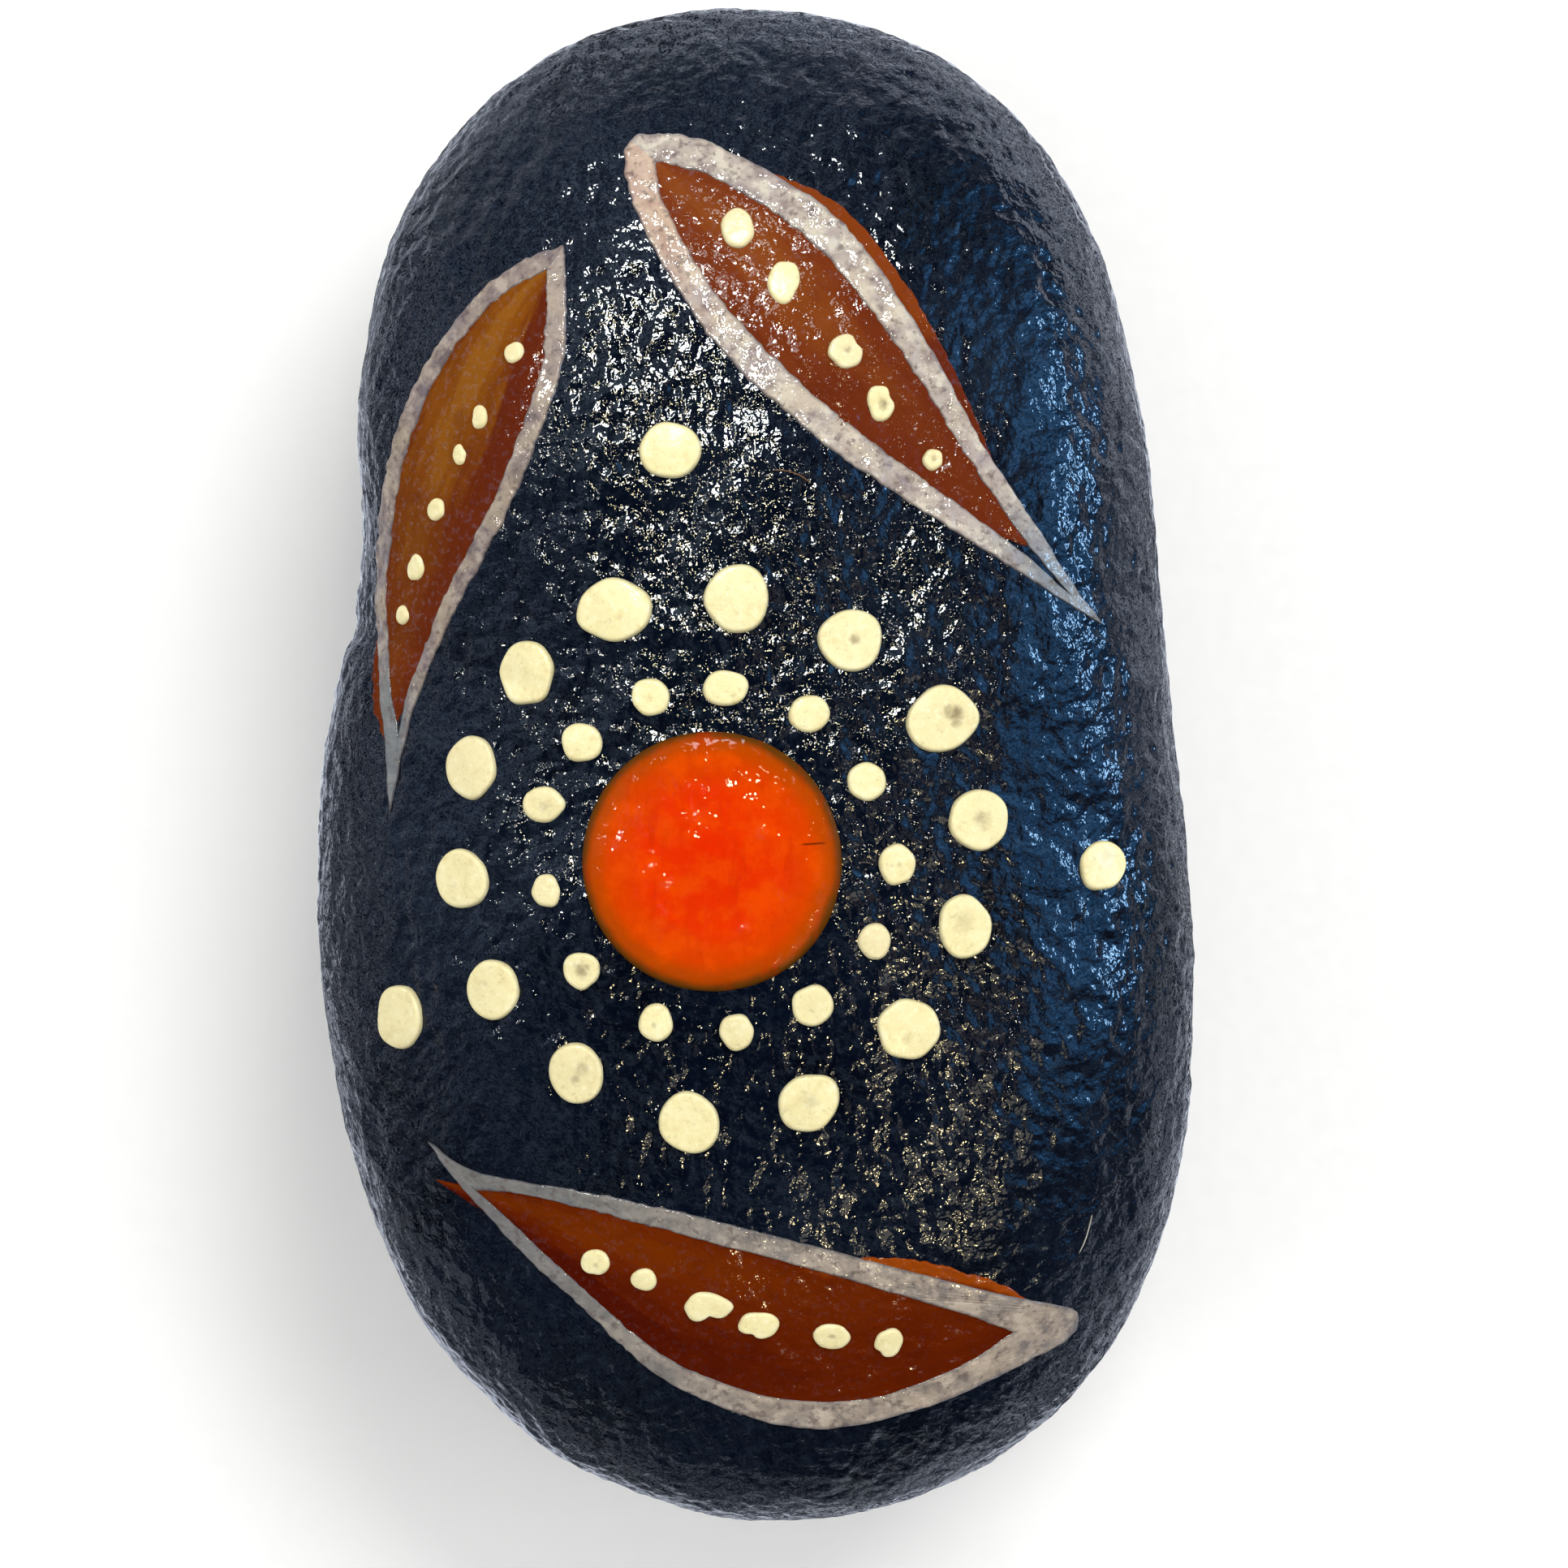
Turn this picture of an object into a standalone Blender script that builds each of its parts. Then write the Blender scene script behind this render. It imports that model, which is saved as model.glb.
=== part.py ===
"""Hand-painted river pebble: a long, flat-topped stone under a dark base coat,
with a raised orange sun disc, two rings of cream dots, three lone dots and
three painted seed-pod leaves, each with a grey-white outline and a row of
small cream dots. Metres, +Z up, +Y along the stone. The stone lies on the
small flat of its belly at Z = 0, and the origin is under the middle of it.

Every film and drop of paint is a solid of its own that follows the curved top
of the stone, a hair's breadth above what it was painted on.
"""

import bpy
import bmesh
import math
from mathutils import Vector

MM = 0.001

# ---------------------------------------------------------------- dimensions
# Stone, in millimetres.
CREST = 18.5            # top of the stone above its widest level
BELLY = 16.4            # bottom of the stone below its widest level, before the flat
WAIST = 15.0            # height of the widest level over the rest face
BELLY_POWER = 2.8       # roundness of the lower half: 2 is an ellipse, more is boxier
REST_CORNERS = 6        # the worn spot that the stone lies on, a six-sided flat
REST_HALF = (10.5, 17.0)
REST_EASE = 0.2         # how far the belly round it stays clear of the table
TOP_POWER = 2.5         # roundness of the upper half
TOP_POWER_LEAN = 0.35   # boxier on the right, softer on the left
# Outline seen from above: radius every 15 degrees, counter-clockwise from +X.
OUTLINE = (28.0, 28.2, 30.6, 35.6, 42.8, 48.4, 50.0, 49.0,
           44.4, 36.8, 30.0, 28.2, 28.6, 30.0, 32.8, 37.4,
           43.2, 47.7, 50.0, 49.3, 45.7, 39.4, 33.5, 29.7)
NOTCH_ANGLE = 161.0     # small pinch in the left side
NOTCH_DEPTH = 0.5
NOTCH_SPREAD = 2.6      # degrees
RIDGE_X = 17.5          # soft ridge where the top turns into the right flank
RIDGE_RISE = 0.012
RIDGE_WIDTH = 3.6

# Paint, in millimetres.
COAT_THICKNESS = 0.25
COAT_EDGE = 1.8         # the base coat stops this far above the rest face
GAP = 0.3               # clearance between a film and what it lies on
FILL_THICKNESS = 0.12
OUTLINE_LIFT = 0.72     # leaf outlines lie over the fills
OUTLINE_THICKNESS = 0.16
DOT_HEIGHT = 0.5
LEAF_DOT_HEIGHT = 0.36

DISC_CENTRE = (-2.5, -6.1)
DISC_RADIUS = 7.9
DISC_HEIGHT = 0.75

# Rings of dots: centre, radius, degrees clockwise from +Y of the first dot.
OUTER_RING = ((-2.3, -5.8), 16.3, 5.6)
INNER_RING = ((-2.3, -6.0), 10.9, 7.2)
# One entry a dot, clockwise: how far the hand strayed outwards and along the
# ring, then the drop's width and height.
OUTER_DROPS = ((-0.2, -0.2, 4.0, 4.4), (-0.4, 0.2, 4.1, 3.9),
               (0.2, 0.5, 4.6, 4.1), (0.3, -0.2, 3.9, 3.8),
               (-0.2, -0.8, 3.5, 3.9), (-0.2, -0.7, 3.9, 3.9),
               (0.1, -0.2, 3.9, 3.7), (0.4, 0.0, 3.9, 3.9),
               (-0.2, 0.4, 3.6, 3.8), (0.0, 0.6, 3.4, 3.9),
               (-0.3, 0.6, 3.6, 3.6), (0.1, 0.4, 3.3, 4.0),
               (0.2, 0.0, 3.6, 4.0), (0.3, -0.6, 4.8, 3.9))
INNER_DROPS = ((-0.2, -0.7, 2.9, 2.3), (-0.1, -0.4, 2.6, 2.4),
               (-0.3, 0.0, 2.4, 2.5), (0.4, 0.2, 2.3, 2.6),
               (0.2, -0.2, 2.0, 2.4), (0.0, 0.1, 2.6, 2.7),
               (-0.1, -0.1, 2.3, 2.3), (-0.1, -0.2, 2.2, 2.4),
               (-0.1, 0.3, 2.4, 2.4), (-0.2, 0.6, 1.9, 2.1),
               (0.4, 0.7, 2.8, 2.2), (0.2, -0.1, 2.6, 2.5),
               (0.0, -0.2, 2.4, 2.4))
# Dots that stand alone: name, plan position, width and height.
LONE_DOTS = (("top", (-5.1, 19.5), 3.8, 3.7),
             ("left", (-22.5, -16.1), 3.0, 4.2),
             ("right", (22.1, -6.4), 3.0, 3.3))

# Leaves, plan positions. Each shape is two tips and two sides between them.
# "rim" is the outside of the outline, "window" its inside, "fill" the brown.
LEAVES = {
    "upper": {
        "rim": (((-7.9, 40.0), (22.0, 8.7)),
                ((-2.9, 39.2), (5.0, 34.5), (10.6, 27.4), (14.8, 19.9), (19.3, 12.5)),
                ((-7.2, 34.4), (-2.8, 26.8), (3.6, 20.6), (10.7, 15.7), (18.0, 11.1))),
        "window": (((-6.0, 38.0), (20.0, 10.5)),
                   ((-2.0, 36.9), (4.0, 33.0), (9.2, 26.6), (13.4, 19.8), (17.0, 14.1)),
                   ((-5.2, 34.6), (-1.4, 28.4), (4.9, 22.2), (10.9, 17.7), (16.2, 13.7))),
        "fill": (((-6.7, 38.4), (18.4, 12.3)),
                 ((-2.2, 38.2), (5.6, 35.0), (11.8, 27.6), (15.0, 20.4), (17.2, 15.2)),
                 ((-5.9, 34.2), (-2.2, 27.6), (4.2, 21.5), (10.8, 16.8), (15.6, 13.9))),
        "dots": (((-0.9, 33.6), 2.0, 2.5), ((2.0, 30.1), 2.0, 2.7),
                 ((5.8, 25.7), 2.1, 2.0), ((8.0, 22.5), 1.7, 2.0),
                 ((11.3, 19.0), 1.3, 1.4)),
    },
    "left": {
        "rim": (((-11.9, 32.8), (-23.1, -3.2)),
                ((-15.8, 31.0), (-20.7, 25.7), (-23.5, 18.9), (-24.4, 11.9), (-23.9, 4.7)),
                ((-11.6, 28.4), (-12.1, 24.0), (-14.8, 16.9), (-18.2, 10.6), (-21.5, 3.9))),
        "window": (((-13.0, 31.0), (-22.7, 2.0)),
                   ((-15.9, 29.3), (-19.7, 25.1), (-22.4, 18.6), (-23.4, 11.8), (-23.2, 6.4)),
                   ((-13.0, 28.0), (-13.4, 24.3), (-15.9, 17.5), (-19.2, 11.1), (-21.7, 5.4))),
        "fill": (((-12.2, 31.9), (-23.7, 1.5)),
                 ((-16.1, 30.0), (-20.3, 25.6), (-23.4, 19.4), (-24.1, 12.0), (-24.5, 4.6)),
                 ((-12.5, 28.2), (-12.8, 24.1), (-15.3, 17.2), (-18.7, 10.8), (-21.7, 4.6))),
        "dots": (((-14.9, 25.8), 1.3, 1.5), ((-17.1, 21.8), 1.1, 1.5),
                 ((-18.5, 19.5), 1.0, 1.3), ((-20.0, 16.1), 1.1, 1.5),
                 ((-21.4, 12.5), 1.1, 1.8), ((-22.3, 9.5), 0.9, 1.3)),
    },
    "lower": {
        "rim": (((-20.7, -23.9), (20.9, -35.5)),
                ((-17.2, -25.8), (-10.6, -26.8), (-2.7, -28.5), (5.1, -30.5),
                 (12.9, -32.6), (18.7, -34.1)),
                ((-16.2, -29.3), (-10.7, -34.5), (-4.9, -39.4), (3.0, -42.2),
                 (11.3, -40.8), (17.6, -37.9))),
        "window": (((-17.4, -27.0), (16.4, -35.9)),
                   ((-13.8, -27.2), (-8.6, -28.5), (-3.1, -29.9), (3.0, -31.5),
                    (8.3, -33.1), (12.9, -34.6)),
                   ((-13.2, -30.8), (-8.3, -35.2), (-4.0, -38.2), (2.0, -40.2),
                    (8.0, -40.0), (13.0, -38.1))),
        "fill": (((-20.3, -26.3), (17.4, -35.6)),
                 ((-15.4, -26.8), (-9.8, -27.7), (-2.9, -29.2), (4.2, -30.9),
                  (9.8, -31.0), (15.2, -33.0)),
                 ((-15.0, -29.9), (-9.5, -34.8), (-4.4, -38.8), (2.5, -41.1),
                  (9.6, -40.2), (14.6, -38.0))),
        "dots": (((-9.9, -31.4), 1.9, 1.8), ((-6.8, -32.4), 1.7, 1.5),
                 ((-2.8, -34.1), 2.8, 1.7), ((0.4, -35.3), 2.5, 1.6),
                 ((5.0, -36.1), 2.5, 1.7), ((8.6, -36.5), 1.9, 1.9)),
    },
}

# Mesh fineness.
COAT_SEGMENTS, COAT_RINGS = 48, 24
CORE_SEGMENTS, CORE_RINGS = 36, 18
DISC_SEGMENTS, DISC_RINGS = 32, 4
LEAF_STEPS, FILL_STEPS_ACROSS = 18, 4


# --------------------------------------------------------------------- stone
def curve_through(points, t):
    """Point at t in 0..1 on a smooth curve through the given points."""
    spans = len(points) - 1
    s = min(max(t, 0.0), 1.0) * spans
    i = min(int(s), spans - 1)
    f = s - i
    b, c = Vector(points[i]), Vector(points[i + 1])
    a = Vector(points[i - 1]) if i else 2 * b - c
    d = Vector(points[i + 2]) if i + 2 <= spans else 2 * c - b
    return b + 0.5 * f * (c - a + f * (2 * a - 5 * b + 4 * c - d + f * (3 * (b - c) + d - a)))


def outline(angle):
    """Radius of the widest section, in mm, at an angle from +X."""
    n = len(OUTLINE)
    s = (angle / math.tau * n) % n
    i, f = int(s), s - int(s)
    a, b, c, d = (OUTLINE[(i + k - 1) % n] for k in range(4))
    radius = b + 0.5 * f * (c - a + f * (2 * a - 5 * b + 4 * c - d + f * (3 * (b - c) + d - a)))
    off = (math.degrees(angle) - NOTCH_ANGLE + 180) % 360 - 180
    return radius - NOTCH_DEPTH * math.exp(-((off / NOTCH_SPREAD) ** 2))


def swell(x, y):
    """Slow rises and hollows of the top, as a fraction of its height."""
    return (0.010 * math.sin(0.21 * x + 0.09 * y + 0.8)
            + 0.009 * math.sin(-0.12 * x + 0.19 * y + 2.1)
            + 0.007 * math.sin(0.33 * x - 0.16 * y + 4.0)
            + RIDGE_RISE * math.exp(-(((x - RIDGE_X - 0.02 * y) / RIDGE_WIDTH) ** 2)))


def top_power(angle):
    return TOP_POWER + TOP_POWER_LEAN * math.cos(angle)


def height(x, y):
    """Height of the painted top over the rest face at a plan position, mm."""
    angle = math.atan2(y, x)
    power = top_power(angle)
    out = min(math.hypot(x, y) / outline(angle), 1.0)
    return WAIST + CREST * (1 - out ** power) ** (1 / power) * (1 + swell(x, y))


def on_top(x, y, lift=0.0):
    """Point over plan position (x, y), lift mm out along the surface's normal."""
    e = 0.05
    dx = (height(x + e, y) - height(x - e, y)) / (2 * e)
    dy = (height(x, y + e) - height(x, y - e)) / (2 * e)
    normal = Vector((-dx, -dy, 1.0)).normalized()
    return Vector((x, y, height(x, y))) + lift * normal


def stone_point(unit, inset):
    """Maps a point of the unit sphere onto the stone, inset mm under its skin."""
    upper = unit.z >= 0
    rise = (CREST if upper else BELLY) - inset
    v = Vector((28.0 * unit.x, 50.0 * unit.y, rise * unit.z))
    angle = math.atan2(v.y, v.x)
    reach = outline(angle) - inset
    power = top_power(angle) if upper else BELLY_POWER
    scale = ((math.hypot(v.x, v.y) / reach) ** power + (abs(v.z) / rise) ** power) ** (-1 / power)
    v *= scale
    if upper:
        v.z *= 1 + swell(v.x, v.y)
    return Vector((v.x, v.y, v.z + WAIST))


# ------------------------------------------------------------------- helpers
for existing in list(bpy.data.objects):
    bpy.data.objects.remove(existing, do_unlink=True)

pebble = bpy.data.objects.new("pebble", None)
bpy.context.scene.collection.objects.link(pebble)


def paint(name, colour, roughness, coat=0.0):
    """A paint or stone finish; colour is linear RGB."""
    material = bpy.data.materials.new(name)
    material.use_nodes = True
    shader = material.node_tree.nodes["Principled BSDF"]
    shader.inputs["Base Color"].default_value = (*colour, 1.0)
    shader.inputs["Roughness"].default_value = roughness
    shader.inputs["Metallic"].default_value = 0.0
    shader.inputs["Coat Weight"].default_value = coat
    shader.inputs["Coat Roughness"].default_value = 0.1
    material.diffuse_color = (*colour, 1.0)
    return material


BARE_STONE = paint("bare_stone", (0.23, 0.215, 0.19), 0.85)
NIGHT_BLUE = paint("night_blue_coat", (0.010, 0.014, 0.024), 0.3, 1.0)
SUN_ORANGE = paint("sun_orange", (0.84, 0.045, 0.002), 0.3, 1.0)
CREAM = paint("cream_dots", (0.90, 0.85, 0.55), 0.45, 0.6)
LEAF_BROWN = paint("leaf_brown", (0.22, 0.040, 0.010), 0.4, 1.0)
OUTLINE_GREY = paint("outline_grey", (0.40, 0.34, 0.30), 0.45, 0.8)


def add(name, bm, material, location=(0.0, 0.0, 0.0)):
    """Makes a bmesh in mm, about location in mm, into a named object."""
    centre = Vector(location)
    for v in bm.verts:
        v.co = (v.co - centre) * MM
    bmesh.ops.recalc_face_normals(bm, faces=bm.faces[:])
    mesh = bpy.data.meshes.new(name)
    bm.to_mesh(mesh)
    bm.free()
    mesh.shade_smooth()
    mesh.set_sharp_from_angle(angle=math.radians(50))
    mesh.materials.append(material)
    piece = bpy.data.objects.new(name, mesh)
    piece.location = centre * MM
    piece.parent = pebble
    bpy.context.scene.collection.objects.link(piece)
    return piece


def sphere(segments, rings, inset):
    bm = bmesh.new()
    bmesh.ops.create_uvsphere(bm, u_segments=segments, v_segments=rings, radius=1.0)
    for v in bm.verts:
        v.co = stone_point(v.co.normalized(), inset)
    return bm


def slice_off_below(bm, level):
    """Cuts the mesh level at a height and throws the lower part away."""
    bmesh.ops.bisect_plane(
        bm, geom=bm.verts[:] + bm.edges[:] + bm.faces[:], dist=1e-5,
        plane_co=(0, 0, level), plane_no=(0, 0, -1), clear_outer=True)
    return [e for e in bm.edges if len(e.link_faces) == 1]


# ------------------------------------------------------------- stone and coat
core = sphere(CORE_SEGMENTS, CORE_RINGS, COAT_THICKNESS + GAP + 0.05)
belly_edge = slice_off_below(core, REST_EASE)
corners = [core.verts.new((REST_HALF[0] * math.cos(math.tau * (k + 0.5) / REST_CORNERS),
                           REST_HALF[1] * math.sin(math.tau * (k + 0.5) / REST_CORNERS), 0.0))
           for k in range(REST_CORNERS)]
rest_edge = [core.edges.new((corners[k - 1], corners[k])) for k in range(REST_CORNERS)]
core.faces.new(corners)
bmesh.ops.bridge_loops(core, edges=belly_edge + rest_edge)
add("stone_core", core, BARE_STONE)

coat = sphere(COAT_SEGMENTS, COAT_RINGS, 0.0)
slice_off_below(coat, COAT_EDGE)
coat = add("base_coat", coat, NIGHT_BLUE)
film = coat.modifiers.new("film", "SOLIDIFY")
film.thickness = COAT_THICKNESS * MM
film.offset = -1.0


# ---------------------------------------------------------------- paint drops
def drop(name, centre, width, length, rise, segments, rings, material, lift=GAP):
    """A domed drop of paint: flat underneath, rounded at its edge, and oval in
    plan, made from a squashed sphere laid on the stone."""
    bm = bmesh.new()
    bmesh.ops.create_uvsphere(bm, u_segments=segments, v_segments=rings, radius=1.0)
    for v in bm.verts:
        x = centre[0] + v.co.x * width / 2
        y = centre[1] + v.co.y * length / 2
        shelf = 0.3 * rise
        if v.co.z >= 0:
            level = shelf + (rise - shelf) * v.co.z
        else:
            level = shelf * max(0.0, 1 + 1.8 * v.co.z)
        v.co = on_top(x, y, lift + level)
    return add(name, bm, material, on_top(*centre, lift))


def ring_place(ring, count, index, outwards, along):
    """Plan position of one dot of a ring, counted clockwise from its first."""
    (cx, cy), radius, first = ring
    turn = math.radians(first) + math.tau * index / count + along / radius
    reach = radius + outwards
    return cx + reach * math.sin(turn), cy + reach * math.cos(turn)


for label, ring, drops in (("outer", OUTER_RING, OUTER_DROPS),
                           ("inner", INNER_RING, INNER_DROPS)):
    for i, (outwards, along, width, length) in enumerate(drops):
        place = ring_place(ring, len(drops), i, outwards, along)
        drop(f"{label}_dot_{i + 1:02d}", place, width, length, DOT_HEIGHT, 12, 5, CREAM)

for label, place, width, length in LONE_DOTS:
    drop(f"lone_dot_{label}", place, width, length, DOT_HEIGHT, 12, 5, CREAM)

# The disc is a pool of thick paint, level across with a rolled edge.
disc = bmesh.new()
bmesh.ops.create_uvsphere(disc, u_segments=DISC_SEGMENTS, v_segments=2 * DISC_RINGS, radius=1.0)
for v in disc.verts:
    out = math.hypot(v.co.x, v.co.y)
    polar = math.atan2(out, abs(v.co.z)) / (math.pi / 2)     # 0 at the middle, 1 at the edge
    share = polar / out if out > 1e-9 else 0.0
    level = DISC_HEIGHT * (0.3 + 0.7 * (1 - polar ** 4)) if v.co.z > -1e-6 else 0.0
    v.co = on_top(DISC_CENTRE[0] + DISC_RADIUS * v.co.x * share,
                  DISC_CENTRE[1] + DISC_RADIUS * v.co.y * share, GAP + level)
add("sun_disc", disc, SUN_ORANGE, on_top(*DISC_CENTRE, GAP))


# --------------------------------------------------------------------- leaves
def side(shape, which, t):
    """Point at t along one side of a leaf shape, from first tip to second."""
    (first, last), *sides = shape
    return curve_through((first, *sides[which], last), t)


def leaf_fill(name, shape):
    """A thin film between the two sides, drawn to a point at both tips."""
    bm = bmesh.new()
    bmesh.ops.create_grid(bm, x_segments=LEAF_STEPS, y_segments=FILL_STEPS_ACROSS, size=0.5)
    for v in bm.verts:
        t, across = v.co.x + 0.5, v.co.y + 0.5
        place = side(shape, 0, t).lerp(side(shape, 1, t), across)
        v.co = on_top(place.x, place.y, GAP)
    bmesh.ops.remove_doubles(bm, verts=bm.verts[:], dist=1e-4)
    return lay_film(name, bm, FILL_THICKNESS, LEAF_BROWN)


def leaf_outline(name, rim, window):
    """A closed band of paint: a grid of ribs run round from one tip, down one
    side, round the other tip and back, joined up where it started."""
    bm = bmesh.new()
    bmesh.ops.create_grid(bm, x_segments=2 * LEAF_STEPS, y_segments=2, size=0.5)
    for v in bm.verts:
        t, outwards = 2 * (v.co.x + 0.5), v.co.y + 0.5
        which, t = (0, t) if t <= 1 else (1, 2 - t)
        place = side(window, which, t).lerp(side(rim, which, t), outwards)
        v.co = on_top(place.x, place.y, OUTLINE_LIFT)
    bmesh.ops.remove_doubles(bm, verts=bm.verts[:], dist=1e-4)
    return lay_film(name, bm, OUTLINE_THICKNESS, OUTLINE_GREY)


def lay_film(name, bm, thickness, material):
    """Turns a sheet of faces upwards and thickens it away from the stone."""
    bmesh.ops.recalc_face_normals(bm, faces=bm.faces[:])
    if sum((f.normal.z * f.calc_area() for f in bm.faces), 0.0) < 0:
        bmesh.ops.reverse_faces(bm, faces=bm.faces[:])
    mesh = bpy.data.meshes.new(name)
    centre = sum((v.co for v in bm.verts), Vector()) / len(bm.verts)
    for v in bm.verts:
        v.co = (v.co - centre) * MM
    bm.to_mesh(mesh)
    bm.free()
    mesh.shade_smooth()
    mesh.materials.append(material)
    piece = bpy.data.objects.new(name, mesh)
    piece.location = centre * MM
    piece.parent = pebble
    bpy.context.scene.collection.objects.link(piece)
    film = piece.modifiers.new("film", "SOLIDIFY")
    film.thickness = thickness * MM
    film.offset = 1.0
    return piece


for label, leaf in LEAVES.items():
    leaf_fill(f"leaf_{label}_fill", leaf["fill"])
    leaf_outline(f"leaf_{label}_outline", leaf["rim"], leaf["window"])
    for i, (place, width, length) in enumerate(leaf["dots"]):
        drop(f"leaf_{label}_dot_{i + 1}", place, width, length, LEAF_DOT_HEIGHT, 10, 4,
             CREAM, OUTLINE_LIFT)
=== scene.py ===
import math

import bpy
import numpy as np
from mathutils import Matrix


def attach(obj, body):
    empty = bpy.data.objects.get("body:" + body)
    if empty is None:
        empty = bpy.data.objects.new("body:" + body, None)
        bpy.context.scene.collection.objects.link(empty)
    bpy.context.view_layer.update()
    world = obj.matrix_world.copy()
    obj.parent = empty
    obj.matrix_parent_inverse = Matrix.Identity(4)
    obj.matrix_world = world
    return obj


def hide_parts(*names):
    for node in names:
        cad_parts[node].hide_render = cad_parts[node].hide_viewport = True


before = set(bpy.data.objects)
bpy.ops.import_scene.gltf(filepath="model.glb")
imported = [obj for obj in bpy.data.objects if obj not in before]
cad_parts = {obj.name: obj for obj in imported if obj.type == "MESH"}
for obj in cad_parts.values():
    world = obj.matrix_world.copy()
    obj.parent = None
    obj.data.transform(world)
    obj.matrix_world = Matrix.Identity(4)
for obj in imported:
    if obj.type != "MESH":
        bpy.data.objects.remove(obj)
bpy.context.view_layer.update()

MM = 0.001

# ------------------------------------------------------------------ the stone
# The same shape rule as the part: millimetres, +Y along the stone.
CREST, BELLY, WAIST, BELLY_POWER = 18.5, 16.4, 15.0, 2.8
TOP_POWER, TOP_POWER_LEAN = 2.5, 0.35
OUTLINE = np.array((28.0, 28.2, 30.6, 35.6, 42.8, 48.4, 50.0, 49.0,
                    44.4, 36.8, 30.0, 28.2, 28.6, 30.0, 32.8, 37.4,
                    43.2, 47.7, 50.0, 49.3, 45.7, 39.4, 33.5, 29.7))
NOTCH_ANGLE, NOTCH_DEPTH, NOTCH_SPREAD = 161.0, 0.5, 2.6
COAT_EDGE = 1.8


def outline(angle):
    n = len(OUTLINE)
    s = (angle / math.tau * n) % n
    i = np.floor(s).astype(int) % n
    f = s - np.floor(s)
    a, b, c, d = (OUTLINE[(i + k - 1) % n] for k in range(4))
    r = b + 0.5 * f * (c - a + f * (2 * a - 5 * b + 4 * c - d + f * (3 * (b - c) + d - a)))
    off = (np.degrees(angle) - NOTCH_ANGLE + 180) % 360 - 180
    return r - NOTCH_DEPTH * np.exp(-((off / NOTCH_SPREAD) ** 2))


def swell(x, y):
    return (0.010 * np.sin(0.21 * x + 0.09 * y + 0.8)
            + 0.009 * np.sin(-0.12 * x + 0.19 * y + 2.1)
            + 0.007 * np.sin(0.33 * x - 0.16 * y + 4.0)
            + 0.012 * np.exp(-(((x - 17.5 - 0.02 * y) / 3.6) ** 2)))


def height(x, y):
    angle = np.arctan2(y, x)
    power = TOP_POWER + TOP_POWER_LEAN * np.cos(angle)
    out = np.minimum(np.hypot(x, y) / outline(angle), 1.0)
    return WAIST + CREST * (1 - out ** power) ** (1 / power) * (1 + swell(x, y))


def over(x, y):
    """(points, normals) of the smooth top at plan positions."""
    x, y = np.asarray(x, float), np.asarray(y, float)
    e = 0.05
    n = np.stack([-(height(x + e, y) - height(x - e, y)) / (2 * e),
                  -(height(x, y + e) - height(x, y - e)) / (2 * e),
                  np.ones_like(x)], -1)
    n /= np.linalg.norm(n, axis=-1, keepdims=True)
    return np.stack([x, y, height(x, y)], -1), n


def round_the_stone(u, inset=0.0):
    """Points of the unit sphere, laid on the stone inset mm under its skin."""
    rise = np.where(u[:, 2] >= 0, CREST, BELLY) - inset
    v = u * np.array((28.0, 50.0, 1.0))
    v[:, 2] *= rise
    angle = np.arctan2(v[:, 1], v[:, 0])
    power = np.where(u[:, 2] >= 0, TOP_POWER + TOP_POWER_LEAN * np.cos(angle), BELLY_POWER)
    reach = outline(angle) - inset
    scale = ((np.hypot(v[:, 0], v[:, 1]) / reach) ** power
             + (np.abs(v[:, 2]) / rise) ** power) ** (-1 / power)
    v *= scale[:, None]
    v[:, 2] = np.where(u[:, 2] >= 0, v[:, 2] * (1 + swell(v[:, 0], v[:, 1])), v[:, 2]) + WAIST
    return v


# ---------------------------------------------------------------------- noise
RNG = np.random.default_rng(20)
GRADIENTS = RNG.normal(size=(256, 3))
GRADIENTS /= np.linalg.norm(GRADIENTS, axis=1, keepdims=True)
PERM = RNG.permutation(256)


def shuffle(i, j, k):
    return PERM[(PERM[(PERM[i & 255] + j) & 255] + k) & 255]


def noise(p):
    """Gradient noise, about -1 to 1, one lattice cell to a unit."""
    base = np.floor(p).astype(int)
    f = p - base
    w = f * f * f * (f * (f * 6 - 15) + 10)
    total = np.zeros(p.shape[:-1])
    for dx in (0, 1):
        for dy in (0, 1):
            for dz in (0, 1):
                g = GRADIENTS[shuffle(base[..., 0] + dx, base[..., 1] + dy, base[..., 2] + dz)]
                d = ((f - (dx, dy, dz)) * g).sum(-1)
                wx = w[..., 0] if dx else 1 - w[..., 0]
                wy = w[..., 1] if dy else 1 - w[..., 1]
                wz = w[..., 2] if dz else 1 - w[..., 2]
                total += d * wx * wy * wz
    return total * 1.7


def pits(p, cell, share):
    """Round hollows, 0 to 1 deep, one at most to a cell and only in a share of them."""
    q = p / cell
    base = np.floor(q).astype(int)
    deepest = np.zeros(p.shape[:-1])
    for dx in (-1, 0, 1):
        for dy in (-1, 0, 1):
            for dz in (-1, 0, 1):
                c = base + (dx, dy, dz)
                h = shuffle(c[..., 0], c[..., 1], c[..., 2])
                g = GRADIENTS[h]
                centre = c + 0.5 + 0.3 * g
                size = 0.22 + 0.26 * ((h * 37) % 256) / 256
                d = np.linalg.norm(q - centre, axis=-1) / size
                deep = np.where((h * 91) % 256 < 256 * share, np.clip(1 - d * d, 0, 1), 0)
                deepest = np.maximum(deepest, deep)
    return deepest


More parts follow.
